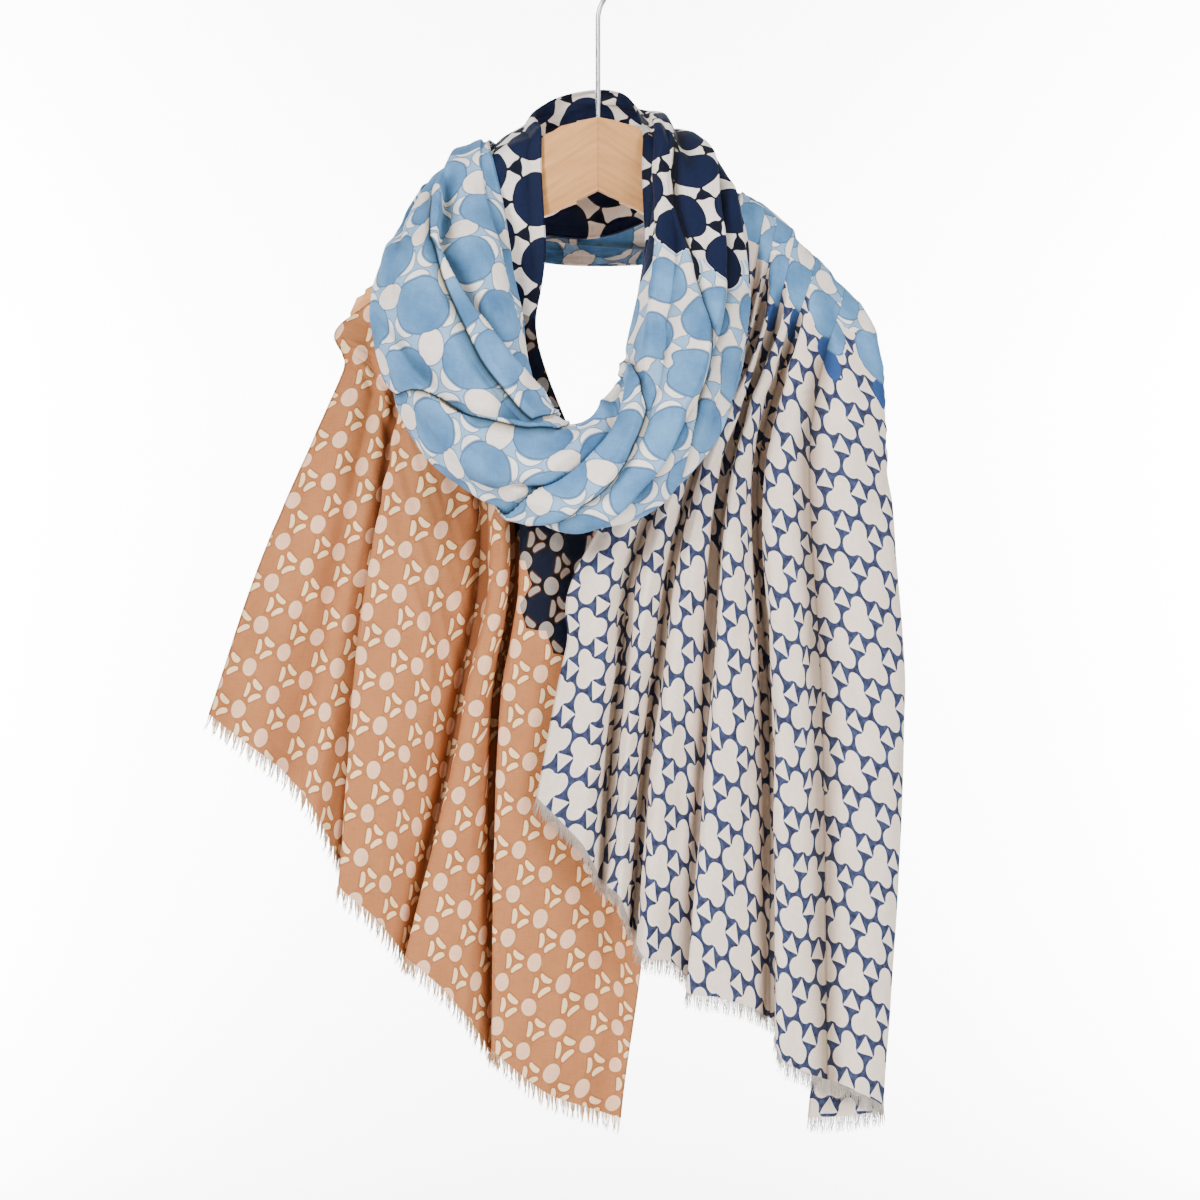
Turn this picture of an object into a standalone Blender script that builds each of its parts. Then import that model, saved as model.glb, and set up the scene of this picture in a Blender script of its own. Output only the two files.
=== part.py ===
"""Printed stole scarf wound once round a plain coat hanger, both tails hanging in front.

Frame: metres, Z up, the front faces -Y. The origin is the inside top of the hook's crook,
where the hanger is hung up.
"""
import math

import bmesh
import bpy
import numpy as np

for old in list(bpy.data.objects):
    bpy.data.objects.remove(old, do_unlink=True)

MM = 0.001

# ---- sizes of the hanger, millimetres -------------------------------------------------
HOOK_DROP = 120.0          # inside top of the crook down to the top middle of the wood
WOOD_THICK = 15.0          # front to back
WOOD_EDGE = 2.2            # rounding of the long edges of the wood
WIRE_RADIUS = 1.75
CROOK_RADIUS = 18.75       # to the middle of the wire
CROOK_END_DEG = 196.0      # where the open end of the crook stops
CROOK_START_DEG = -38.0    # where the crook leaves the bend of the stem
STEM_TOP = -54.0           # height where the stem starts to bend
STEM_CLEAR = 0.05          # stem foot above the wood
WIRE_SIDES = 8

# ---- sizes of the cloth, millimetres --------------------------------------------------
FIRST_EDGE_SECTION = 4     # sections before the table of edges: four of the left tail
SLOPE_STEP = 0.04          # step along the cloth used to find its slope, in sections
CLOTH_THICK = 1.5          # wall of the solid; the real cloth is far thinner
SEAM_GAP = 0.4             # between two stretches of the cloth
FRINGE_GAP = 0.45          # between the hem and the strip the fringe hangs from
STRIP_HEIGHT = 3.4         # the strip itself
LOCK_LENGTH = 8.5          # each lock of fringe

# Wood of the hanger from the middle to the tip: distance out, top and bottom heights,
# measured from the top middle of the wood.
#        out     top    bottom
WOOD_PROFILE = (
    (0.0, 0.0, -50.0),
    (15.0, -3.2, -58.0),
    (28.0, -7.2, -64.6),
    (39.0, -14.4, -69.8),
    (60.0, -31.0, -79.5),
    (80.0, -48.0, -91.0),
    (100.0, -66.5, -104.5),
    (130.0, -93.0, -125.0),
    (152.0, -112.5, -140.5),
    (160.0, -119.5, -145.0),
    (167.0, -127.0, -147.0),
    (170.5, -134.5, -145.0),
)

# Fold lines of the left tail from its inner selvedge to its outer one. Each line runs down
# the cloth through four points (x, y, z): gathered top, below the loop, middle, hem.
# Lines in front (y most negative) are ridges and lines behind them are valleys.
LEFT_FOLDS = (
    ((-42, -48, -142.1), (9.6, -40, -294.6), (32.1, -30, -502.5), (15.7, -34, -684.9)),
    ((-50.9, -44, -137.8), (-13.6, -42, -294.6), (0, -36, -461.4), (-5.4, -36, -677.9)),
    ((-59.8, -40.5, -134.2), (-32.5, -48, -291.3), (-37.9, -50, -440.5), (-35.9, -46, -665.9)),
    ((-68.7, -37.5, -131.2), (-50.2, -46, -287.9), (-66.3, -54, -426.8), (-70.4, -52, -638.2)),
    ((-77.6, -35, -129), (-55.8, -33, -284.3), (-68.1, -34, -413.8), (-71.4, -39, -638.8)),
    ((-86.5, -33, -127.5), (-63, -48, -281.1), (-78.5, -54, -413.2), (-97.5, -52, -603)),
    ((-95.4, -31.5, -126.8), (-70.5, -47, -277.7), (-89.3, -54, -403.1), (-127.8, -56, -574.9)),
    ((-103.7, -30, -126), (-80.4, -33, -274.1), (-94.7, -33, -400.2), (-129.2, -40, -575.4)),
    ((-111.9, -29, -125.9), (-113.9, -49, -243.9), (-124.4, -56, -365.8), (-150.3, -53, -547.4)),
    ((-120.1, -28, -125.9), (-135.7, -46, -215.3), (-158.2, -57, -342.1), (-175.1, -58, -525.4)),
    ((-127.6, -27, -125.8), (-138.8, -37, -208.1), (-152.6, -34, -338.8), (-175.3, -41, -510.1)),
    ((-135.2, -26.5, -126.4), (-145.5, -40, -199.4), (-168.5, -42, -328.6), (-194.1, -46, -471.8)),
    ((-142.7, -26, -127.1), (-153.1, -38, -191.2), (-182.3, -39, -318.4), (-214.2, -39, -448.3)),
    ((-150.3, -25.5, -128.4), (-161.9, -39, -183.7), (-199.4, -47, -304.9), (-239.3, -49, -428.3)),
    ((-157.1, -25, -130.4), (-174.4, -34, -178.7), (-223.7, -40, -291.2), (-264.5, -40, -409.5)),
)

# Fold lines of the right tail, inner selvedge first: over the shoulder, beside the loop,
# below the loop, middle, hem, with one more point just in front of the arm after the first.
# The last three lines are the edge that turns back behind.
RIGHT_FOLDS = (
    ((107.4, 0, -58.6), (105.7, -10.8, -70.5), (93.5, -30, -147.8),
     (0, -58, -284.7), (-21.6, -62, -365.8), (-41.1, -62, -465)),
    ((110.2, 0, -61.4), (108.6, -10.8, -73.3), (98.2, -33, -144.6),
     (23, -66, -272.7), (1.4, -72, -385.8), (-10, -74, -496.8)),
    ((114.3, 0, -64.8), (112.4, -10.8, -76.7), (100.3, -29, -144.3),
     (39.3, -54, -262.9), (14.9, -54, -386.2), (2.8, -58, -521.3)),
    ((118.5, 0, -68.3), (116.6, -10.8, -80.1), (105, -34, -144.6),
     (52.7, -66, -255.1), (24.3, -71, -392.6), (14.9, -74, -531.8)),
    ((122.6, 0, -71.7), (120.4, -10.8, -83.6), (107.8, -29, -144.3),
     (65.1, -52, -248), (38, -52, -399.7), (23.7, -56, -553.9)),
    ((126.7, 0, -75.1), (124.5, -10.8, -87), (111.8, -34, -144.6),
     (74.3, -64, -242.9), (47.2, -68, -399.4), (31, -72, -571.6)),
    ((130.9, 0, -78.6), (128.5, -10.8, -90.4), (115.9, -33, -144.6),
     (83.8, -60, -237.4), (63.6, -60, -392.8), (50.1, -60, -576.6)),
    ((135, 0, -82.7), (132.5, -10.8, -94.5), (120.1, -29, -144.3),
     (89.5, -51, -233.7), (74.6, -50, -399.8), (60.2, -59, -587.5)),
    ((139.1, 0, -86.9), (136.4, -10.8, -98.7), (124, -34, -144.6),
     (94.6, -63, -232.1), (80.3, -68, -412.9), (60.6, -72, -596.5)),
    ((144.6, 0, -92.4), (141.7, -10.8, -104.2), (129.6, -32, -144.5),
     (102.8, -58, -230.6), (99.3, -62, -413), (85.7, -66, -601.1)),
    ((150.1, 0, -97.2), (146.9, -10.8, -109), (135.2, -27, -144.2),
     (111.5, -41, -230), (115.6, -40, -413.6), (116.6, -52, -615.2)),
    ((155.6, 0, -102.7), (152, -10.8, -114.4), (139.1, -33, -148),
     (117.8, -56, -230.5), (121.4, -66, -412.9), (122, -68, -638)),
    ((162.5, 0, -109.6), (159.1, -10.8, -121.3), (147.3, -31, -154.7),
     (130, -55, -223.7), (136.4, -64, -413), (136.4, -64, -649.2)),
    ((170.1, 0, -117.8), (166.8, -10.8, -129.5), (157.1, -27, -157.9),
     (144.6, -46, -223.4), (151.8, -52, -399.7), (155.7, -55, -656.9)),
    ((179.1, 0, -127.5), (177.5, -10.8, -139.2), (173.3, -30, -168.3),
     (170.9, -50, -223.5), (182.4, -62, -399.5), (175.6, -62, -664.2)),
    ((188.7, 0, -139.2), (190.2, -10.8, -150.8), (195.7, -20, -176),
     (197.6, -34, -229.8), (209.8, -46, -399.9), (194, -48, -676.6)),
    ((191.8, 5, -146.5), (189.2, 0, -157.8), (182.7, -8, -180.9),
     (186, -22, -229.4), (193.6, -32, -400.2), (168.2, -36, -683.3)),
    ((192.7, 9, -153.8), (187, 4, -165.1), (175, 2, -183.2),
     (172.9, -12, -229.1), (172.5, -20, -400.4), (143.5, -26, -685.1)),
)

# The cloth between the two tails. Each row is one section across the cloth:
# stretch, inner edge (x, y, z), outer edge (x, y, z), how far the cloth stands out
# between its edges, and how deep the inner and the outer edge roll under.
EDGE_STATIONS = (
    ("neck", (-38.8, -36, -120.9), (-124, -18, -112), 5, 0, 0),
    ("neck", (-36.2, -22, -89.2), (-116, -13.5, -96), 4, 0, 0),
    ("neck", (-37.7, -13, -61.1), (-110, -11, -82), 3, 0, 0),
    ("neck", (-39.1, -10.5, -33.4), (-106, -10, -72), 3, 0, 0),
    ("neck", (-39.1, -8.5, -11.3), (-102, -8.5, -62.5), 4, 0, 0),
    ("neck", (-40, 3, -4.6), (-98, 6, -57), 5, 0, 0),
    ("neck", (-44.3, 20, 3.4), (-91, 26, -57), 7, 0, 0),
    ("neck", (-36.2, 38, 13.6), (-74, 46, -68), 9, 0, 0),
    ("neck", (-19.6, 50, 21.2), (-36, 64, -76), 10, 0, 0),
    ("neck", (1.4, 54, 24.4), (4, 70, -76), 11, 0, 0),
    ("neck", (16.8, 48, 21), (44, 66, -60), 12, 0, 0),
    ("loop", (25, 32, 11.6), (74, 50, -38), 13, 0, 0),
    ("loop", (28.4, 12, 1.8), (82, 28, -34.7), 12, 0, 0),
    ("loop", (30.3, -5, -6.1), (90.3, 4, -45.2), 10, 0, 0),
    ("loop", (30.9, -11, -16.3), (98.8, -14, -62.6), 12, 0, 4),
    ("loop", (30.9, -14, -37.2), (103.9, -26, -86.1), 18, 0, 6),
    ("loop", (30.8, -22, -61.9), (104.9, -36, -117.5), 25, 3, 8),
    ("loop", (29.3, -38, -93.8), (102.3, -52, -152.5), 32, 6, 10),
    ("loop", (21.7, -58, -144), (93.6, -72, -190.6), 38, 9, 12),
    ("loop", (13.5, -76, -184.1), (72.3, -92, -231.7), 40, 12, 14),
    ("loop", (-0.6, -86, -206.7), (38, -106, -267.4), 40, 12, 14),
    ("loop", (-18.7, -90, -215.6), (-11.9, -112, -286.1), 40, 12, 14),
    ("loop", (-35.5, -86, -202), (-61.8, -108, -272.8), 41, 12, 14),
    ("loop", (-45, -74, -173.9), (-110.2, -94, -239.1), 42, 10, 14),
    ("loop", (-50.7, -58, -135.9), (-139.8, -76, -187.5), 40, 8, 12),
    ("loop", (-58.4, -40, -94), (-152.4, -52, -132.2), 34, 4, 8),
    ("loop", (-66.3, -20, -56.9), (-146.7, -28, -94.5), 20, 0, 5),
    ("loop", (-72, -13, -30.2), (-137.2, -12, -78.2), 11, 0, 0),
    ("loop", (-74.3, 0, -20.1), (-128.2, 4, -63.1), 9, 0, 0),
    ("loop", (-75.4, 14, -14.5), (-117.9, 22, -50.5), 8, 0, 0),
    ("back", (-70.3, 34, -16.1), (-98, 48, -66), 12, 0, 0),
    ("back", (-54.8, 64, -23), (-66, 80, -86), 14, 0, 0),
    ("back", (-26.9, 86, -31.5), (-30, 100, -93), 14, 0, 0),
    ("back", (1.4, 92, -34.5), (6, 106, -94), 14, 0, 0),
    ("back", (33.2, 88, -34.8), (48, 102, -93), 13, 0, 0),
    ("back", (71.8, 70, -40.7), (96, 84, -95), 12, 0, 0),
    ("back", (97.7, 42, -48.8), (144, 50, -112), 10, 0, 0),
    ("back", (104, 20, -54.8), (178, 24, -134), 7, 0, 0),
)

# Soft folds along the loop and the stretches behind the neck. Each has the path it follows
# as pairs (row of the table above counted from 0, place across the cloth 0 to 1), its depth
# and its half width. A "ledge" is raised on one side and sunk on the other, a "trough" is
# sunk only.
#  kind      depth  width   path
SOFT_FOLDS = (
    ("ledge", 15.0, 0.075, ((21.1, 0.11), (22.0, 0.17), (23.0, 0.29), (24.0, 0.42),
                            (25.0, 0.50), (26.0, 0.48), (27.6, 0.46))),
    ("ledge", -13.0, 0.075, ((18.6, 0.13), (19.6, 0.19), (20.0, 0.29), (21.0, 0.50),
                             (21.6, 0.66), (22.8, 0.84))),
    ("ledge", 12.0, 0.060, ((21.0, 0.26), (22.0, 0.44), (23.0, 0.62), (24.0, 0.74),
                            (25.2, 0.84))),
    ("ledge", -12.0, 0.060, ((12.0, 0.60), (15.0, 0.62), (18.0, 0.62), (19.0, 0.64),
                             (20.2, 0.76), (21.2, 0.88))),
    ("ledge", -10.0, 0.060, ((12.4, 0.30), (14.0, 0.32), (16.0, 0.32), (18.0, 0.34),
                             (19.4, 0.44), (20.6, 0.64))),
    ("trough", 4.0, 0.070, ((6.5, 0.34), (8.0, 0.36), (10.0, 0.38), (12.0, 0.44), (14.5, 0.46))),
    ("trough", 4.0, 0.070, ((6.0, 0.66), (8.0, 0.64), (10.0, 0.68), (11.6, 0.70))),
    ("ledge", 9.0, 0.070, ((29.4, 0.40), (31.0, 0.36), (33.0, 0.40), (35.0, 0.34), (36.4, 0.30))),
    ("ledge", 8.0, 0.070, ((30.4, 0.70), (32.0, 0.66), (34.0, 0.72), (36.4, 0.62))),
)

# Steps of the mesh: across the cloth and along it, for each stretch.
#  name                  first  last section  across  along
STRETCHES = (
    ("cloth_tail_left", 0, 3, 42, 14),
    ("cloth_neck_wrap", 3, 14, 22, 20),
    ("cloth_front_loop", 14, 33, 22, 34),
    ("cloth_back_wrap", 33, 41.5, 22, 13),
    ("cloth_tail_right", 41.5, 47, 51, 16),
)

# ---- looks ----------------------------------------------------------------------------
#  name                 red    green  blue   roughness metallic
COLOURS = (
    ("hanger_wood", 0.760, 0.520, 0.330, 0.50, 0.0),
    ("hook_metal", 0.780, 0.780, 0.790, 0.22, 1.0),
    ("cloth_orange", 0.620, 0.310, 0.150, 0.85, 0.0),
    ("cloth_navy", 0.030, 0.040, 0.110, 0.85, 0.0),
    ("cloth_sky", 0.300, 0.480, 0.690, 0.85, 0.0),
    ("cloth_sky_back", 0.270, 0.440, 0.650, 0.85, 0.0),
    ("cloth_clover", 0.560, 0.540, 0.560, 0.85, 0.0),
    ("fringe_cream", 0.830, 0.760, 0.680, 0.90, 0.0),
    ("fringe_pale", 0.820, 0.790, 0.760, 0.90, 0.0),
)
MATERIALS = {}
for name, red, green, blue, rough, metal in COLOURS:
    made = bpy.data.materials.new(name)
    made.use_nodes = True
    shader = made.node_tree.nodes["Principled BSDF"]
    shader.inputs["Base Color"].default_value = (red, green, blue, 1.0)
    shader.inputs["Roughness"].default_value = rough
    shader.inputs["Metallic"].default_value = metal
    MATERIALS[name] = made


def add_body(name, points, faces, material, angle):
    """Make one named solid from points in millimetres, measured from the top of the wood."""
    mesh = bpy.data.meshes.new(name)
    moved = [(x * MM, y * MM, (z - HOOK_DROP) * MM) for x, y, z in points]
    mesh.from_pydata(moved, [], faces)
    shaped = bmesh.new()
    shaped.from_mesh(mesh)
    bmesh.ops.recalc_face_normals(shaped, faces=shaped.faces)
    if shaped.calc_volume(signed=True) < 0.0:
        bmesh.ops.reverse_faces(shaped, faces=shaped.faces)
    shaped.to_mesh(mesh)
    shaped.free()
    body = bpy.data.objects.new(name, mesh)
    bpy.context.scene.collection.objects.link(body)
    mesh.materials.append(MATERIALS[material])
    mesh.shade_smooth()
    mesh.set_sharp_from_angle(angle=math.radians(angle))
    return body


# ---- curves ---------------------------------------------------------------------------
def even_curve(points, places):
    """Smooth curve through evenly numbered points, read at places from 0 to 1."""
    pts = np.asarray(points, dtype=float)
    last = len(pts) - 1
    full = np.vstack([2 * pts[0] - pts[1], pts, 2 * pts[-1] - pts[-2]])
    where = np.clip(np.asarray(places, dtype=float), 0.0, 1.0) * last
    low = np.minimum(where.astype(int), last - 1)
    part = (where - low)[:, None]
    a = full[low]
    b = full[low + 1]
    c = full[low + 2]
    d = full[low + 3]
    bend = (2 * a - 5 * b + 4 * c - d) * part ** 2 + (3 * b - a - 3 * c + d) * part ** 3
    return 0.5 * (2 * b + (c - a) * part + bend)


def section_points(width, bulge, curl_in, curl_out):
    """Half a roll of cloth seen end on, as pairs (across, outward)."""
    flat_in = ((0.0, 0.0), (0.030 * width, 0.16 * bulge), (0.065 * width, 0.33 * bulge))
    flat_out = ((0.935 * width, 0.33 * bulge), (0.970 * width, 0.16 * bulge), (width, 0.0))
    roll_in = ((1.4 * curl_in, -0.80 * curl_in), (0.3 * curl_in, -0.70 * curl_in), (0.0, 0.0))
    roll_out = (
        (width, 0.0),
        (width - 0.3 * curl_out, -0.70 * curl_out),
        (width - 1.4 * curl_out, -0.80 * curl_out),
    )
    mix_in = min(1.0, curl_in / 8.0)
    mix_out = min(1.0, curl_out / 8.0)
    line = []
    for plain, rolled in zip(flat_in, roll_in):
        line.append([p * (1 - mix_in) + r * mix_in for p, r in zip(plain, rolled)])
    shoulders = ((0.10, 0.50), (0.21, 0.79), (0.35, 0.95), (0.5, 1.0),
                 (0.65, 0.95), (0.79, 0.79), (0.90, 0.50))
    for across, out in shoulders:
        line.append([across * width, out * bulge])
    for plain, rolled in zip(flat_out, roll_out):
        line.append([p * (1 - mix_out) + r * mix_out for p, r in zip(plain, rolled)])
    return np.array(line)


def unit(vector):
    return vector / max(1e-9, float(np.linalg.norm(vector)))


def cloth_sections(places):
    """Every section of the scarf, hem to hem, read at the same places across the cloth."""
    found = []
    for level in (3, 2, 1, 0):
        found.append(even_curve([line[level] for line in LEFT_FOLDS], places))
    middles = [0.5 * (np.array(row[1]) + np.array(row[2])) for row in EDGE_STATIONS]
    for number, row in enumerate(EDGE_STATIONS):
        inner = np.array(row[1])
        outer = np.array(row[2])
        before = middles[max(0, number - 1)]
        after = middles[min(len(middles) - 1, number + 1)]
        across = unit(outer - inner)
        outward = unit(np.cross(unit(after - before), across))
        shape = section_points(float(np.linalg.norm(outer - inner)), row[3], row[4], row[5])
        flat = even_curve(shape, places)
        found.append(inner + flat[:, :1] * across + flat[:, 1:] * outward)
    for level in (0, 1, 2, 3, 4, 5):
        found.append(even_curve([line[level] for line in RIGHT_FOLDS], places))
    return np.array(found)


def run_along(sections, stations):
    """Smooth run through the sections, read at section numbers that need not be whole."""
    count = len(sections)
    centre = sections.mean(axis=1)
    steps = np.linalg.norm(np.diff(centre, axis=0), axis=1)
    slopes = np.diff(sections, axis=0) / steps[:, None, None]
    tangents = np.empty_like(sections)
    tangents[0] = slopes[0]
    tangents[-1] = slopes[-1]
    for k in range(1, count - 1):
        left = steps[k - 1]
        right = steps[k]
        tangents[k] = (slopes[k] * left + slopes[k - 1] * right) / (left + right)
    rows = []
    for station in stations:
        k = int(min(max(math.floor(station), 0), count - 2))
        part = station - k
        span = steps[k]
        h0 = 2 * part ** 3 - 3 * part ** 2 + 1
        h1 = part ** 3 - 2 * part ** 2 + part
        h2 = 3 * part ** 2 - 2 * part ** 3
        h3 = part ** 3 - part ** 2
        row = h0 * sections[k] + h2 * sections[k + 1]
        rows.append(row + span * (h1 * tangents[k] + h3 * tangents[k + 1]))
    return np.array(rows)


def row_normals(before, row, after):
    """Unit normals of one row from the rows just before and just after it."""
    normal = np.cross(after - before, np.gradient(row, axis=0))
    return normal / np.maximum(1e-9, np.linalg.norm(normal, axis=1, keepdims=True))


def fold_height(station, places):
    """How far the soft folds lift or sink the cloth at one section."""
    height = np.zeros(len(places))
    for kind, depth, width, path in SOFT_FOLDS:
        first = path[0][0]
        last = path[-1][0]
        if station <= first or station >= last:
            continue
        middle = np.interp(station, [p[0] for p in path], [p[1] for p in path])
        fade = min(1.0, (station - first) / 1.2, (last - station) / 1.2)
        offset = (places - middle) / width
        bump = np.exp(-offset ** 2)
        if kind == "ledge":
            height += depth * fade * offset * bump
        else:
            height -= depth * fade * bump
    return height


def even_stations(sections, first, last, steps):
    """Section numbers between first and last, evenly spaced by the length of cloth."""
    fine = np.linspace(first, last, 241)
    middle = run_along(sections, fine).mean(axis=1)
    run = np.concatenate([[0.0], np.cumsum(np.linalg.norm(np.diff(middle, axis=0), axis=1))])
    # crowded rows mark tight bends, so spacing follows both the length and the row number
    mixed = 0.55 * run / run[-1] + 0.45 * (fine - first) / (last - first)
    return np.interp(np.linspace(0.0, 1.0, steps + 1), mixed, fine)


def lifted_row(sections, places, station):
    """One row of the cloth across, raised and sunk by the soft folds."""
    last = len(sections) - 1.0
    near = np.clip([station - SLOPE_STEP, station, station + SLOPE_STEP], 0.0, last)
    before, row, after = run_along(sections, near)
    # the folds fade out towards both selvedges
    rim = np.minimum(1.0, np.minimum(places, 1.0 - places) / 0.08)
    lift = fold_height(station - FIRST_EDGE_SECTION, places) * rim
    return row + row_normals(before, row, after) * lift[:, None]


def cloth_grid(first, last, across, along):
    """Middle surface of one stretch and its normals, between two section numbers."""
    places = np.linspace(0.0, 1.0, across + 1)
    sections = cloth_sections(places)
    rows = []
    normals = []
    for station in even_stations(sections, first, last, along):
        end = len(sections) - 1.0
        low = max(0.0, station - SLOPE_STEP)
        high = min(end, station + SLOPE_STEP)
        row = lifted_row(sections, places, station)
        before = lifted_row(sections, places, low)
        after = lifted_row(sections, places, high)
        rows.append(row)
        normals.append(row_normals(before, row, after))
    return np.array(rows), np.array(normals)


def thick_sheet(name, grid, normals, thick, material, trim_first, trim_last):
    """Close a middle surface into one wall, trimmed back a little at its two ends."""
    grid = grid.copy()
    if trim_first > 0.0:
        step = grid[1] - grid[0]
        grid[0] += step * (trim_first / np.linalg.norm(step, axis=1, keepdims=True))
    if trim_last > 0.0:
        step = grid[-2] - grid[-1]
        grid[-1] += step * (trim_last / np.linalg.norm(step, axis=1, keepdims=True))
    rows, columns = grid.shape[:2]
    front = grid + normals * (thick / 2.0)
    back = grid - normals * (thick / 2.0)
    points = [tuple(p) for p in front.reshape(-1, 3)] + [tuple(p) for p in back.reshape(-1, 3)]
    half = rows * columns
    faces = []
    for i in range(rows - 1):
        for j in range(columns - 1):
            a = i * columns + j
            b = a + 1
            c = a + columns + 1
            d = a + columns
            faces.append((a, b, c, d))
            faces.append((half + a, half + d, half + c, half + b))
    rim = [j for j in range(columns)]
    rim += [i * columns + columns - 1 for i in range(1, rows)]
    rim += [(rows - 1) * columns + j for j in range(columns - 2, -1, -1)]
    rim += [i * columns for i in range(rows - 2, 0, -1)]
    for k, a in enumerate(rim):
        b = rim[(k + 1) % len(rim)]
        faces.append((b, a, half + a, half + b))
    return add_body(name, points, faces, material, 60)


# ---- fringe ---------------------------------------------------------------------------
def halved(line):
    """The same broken line with one more point in the middle of each piece."""
    out = np.empty((2 * len(line) - 1, 3))
    out[0::2] = line
    out[1::2] = (line[:-1] + line[1:]) / 2.0
    return out


def fringe(name, station, inside_station, across, material):
    """A strip along the hem with one tapered lock under each of its cells.

    The strip has two cells for each cell of the hem, so it follows the hem's folds exactly.
    """
    places = np.linspace(0.0, 1.0, across + 1)
    sections = cloth_sections(places)
    first = lifted_row(sections, places, station)
    second = lifted_row(sections, places, inside_station)
    sign = 1.0 if inside_station > station else -1.0
    normal = row_normals(first, first, second) * sign
    hem = halved(first)
    inside = halved(second)
    half = halved(normal * (CLOTH_THICK * 0.4))
    down = hem - inside
    down /= np.linalg.norm(down, axis=1, keepdims=True)
    # where the hem runs steeply the strip starts further down, to stay the same gap away
    edge = np.diff(hem, axis=0)
    edge /= np.linalg.norm(edge, axis=1, keepdims=True)
    lean_after = np.linalg.norm(np.cross(down[:-1], edge), axis=1)
    lean_before = np.linalg.norm(np.cross(down[1:], edge), axis=1)
    steep = np.minimum(np.append(lean_after, 1.0), np.insert(lean_before, 0, 1.0))
    gap = (FRINGE_GAP / np.clip(steep, 0.2, 1.0))[:, None]
    top = hem + down * gap
    low = top + down * STRIP_HEIGHT
    count = len(hem) - 1
    points = []
    for k in range(count + 1):
        points.append(tuple(top[k] + half[k]))
        points.append(tuple(top[k] - half[k]))
        points.append(tuple(low[k] + half[k]))
        points.append(tuple(low[k] - half[k]))
    faces = [(0, 2, 3, 1), (4 * count, 4 * count + 1, 4 * count + 3, 4 * count + 2)]
    for k in range(count):
        a = 4 * k
        b = 4 * k + 4
        faces.append((a, b, b + 2, a + 2))
        faces.append((a + 1, a + 3, b + 3, b + 1))
        faces.append((a, a + 1, b + 1, b))
        root = (low[k] + low[k + 1]) / 2
        side = unit(low[k + 1] - low[k])
        lean = 0.14 * math.sin(1.7 * k) + 0.08 * math.sin(0.61 * k + 1.0)
        length = LOCK_LENGTH * (1.0 + 0.10 * math.sin(2.3 * k + 0.4))
        tip = len(points)
        points.append(tuple(root + unit(down[k] + down[k + 1] + side * 2 * lean) * length))
        faces.append((a + 2, b + 2, tip))
        faces.append((b + 2, b + 3, tip))
        faces.append((b + 3, a + 3, tip))
        faces.append((a + 3, a + 2, tip))
    return add_body(name, points, faces, material, 50)


# ---- hanger ---------------------------------------------------------------------------
def rounded_section(half, top, bottom, edge):
    """Upright rounded rectangle as pairs (y, z), going round once."""
    edge = min(edge, half * 0.9, (top - bottom) * 0.45)
    corners = (
        (half - edge, top - edge, 0.0),
        (-half + edge, top - edge, 90.0),
        (-half + edge, bottom + edge, 180.0),
        (half - edge, bottom + edge, 270.0),
    )
    ring = []
    for y, z, start in corners:
        for turn in (0.0, 45.0, 90.0):
            angle = math.radians(start + turn)
            ring.append((y + edge * math.cos(angle), z + edge * math.sin(angle)))
    return ring


def hanger_body():
    profile = [(-out, top, low) for out, top, low in reversed(WOOD_PROFILE)]
    profile += [row for row in WOOD_PROFILE[1:]]
    tip = WOOD_PROFILE[-1][0]
    points = []
    for x, top, low in profile:
        near_tip = max(0.0, (abs(x) - tip + 12.0) / 12.0)
        half = WOOD_THICK / 2 * (1.0 - 0.35 * near_tip ** 2)
        for y, z in rounded_section(half, top, low, WOOD_EDGE):
            points.append((x, y, z))
    ring = 12
    faces = [tuple(range(ring)), tuple(range(len(points) - 1, len(points) - 1 - ring, -1))]
    for i in range(len(profile) - 1):
        for j in range(ring):
            a = i * ring + j
            b = i * ring + (j + 1) % ring
            faces.append((a, a + ring, b + ring, b))
    return add_body("hanger_body", points, faces, "hanger_wood", 35)


def hook_line():
    """Middle line of the wire as points (x, z): stem, bend, crook."""
    zero = HOOK_DROP
    centre = zero - (CROOK_RADIUS - WIRE_RADIUS)
    line = [(0.0, STEM_CLEAR), (0.0, 20.0), (0.0, 42.0), (0.0, zero + STEM_TOP)]
    start = math.radians(CROOK_START_DEG)
    foot = np.array([0.0, zero + STEM_TOP])
    join = np.array([CROOK_RADIUS * math.cos(start), centre + CROOK_RADIUS * math.sin(start)])
    lead = np.array([-math.sin(start), math.cos(start)])
    for k in range(1, 7):
        part = k / 7.0
        h0 = 2 * part ** 3 - 3 * part ** 2 + 1
        h1 = part ** 3 - 2 * part ** 2 + part
        h2 = 3 * part ** 2 - 2 * part ** 3
        h3 = part ** 3 - part ** 2
        spot = h0 * foot + h1 * np.array([0.0, 30.0]) + h2 * join + h3 * lead * 30.0
        line.append((float(spot[0]), float(spot[1])))
    steps = 20
    for k in range(steps + 1):
        angle = math.radians(CROOK_START_DEG + (CROOK_END_DEG - CROOK_START_DEG) * k / steps)
        line.append((CROOK_RADIUS * math.cos(angle), centre + CROOK_RADIUS * math.sin(angle)))
    return line


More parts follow.
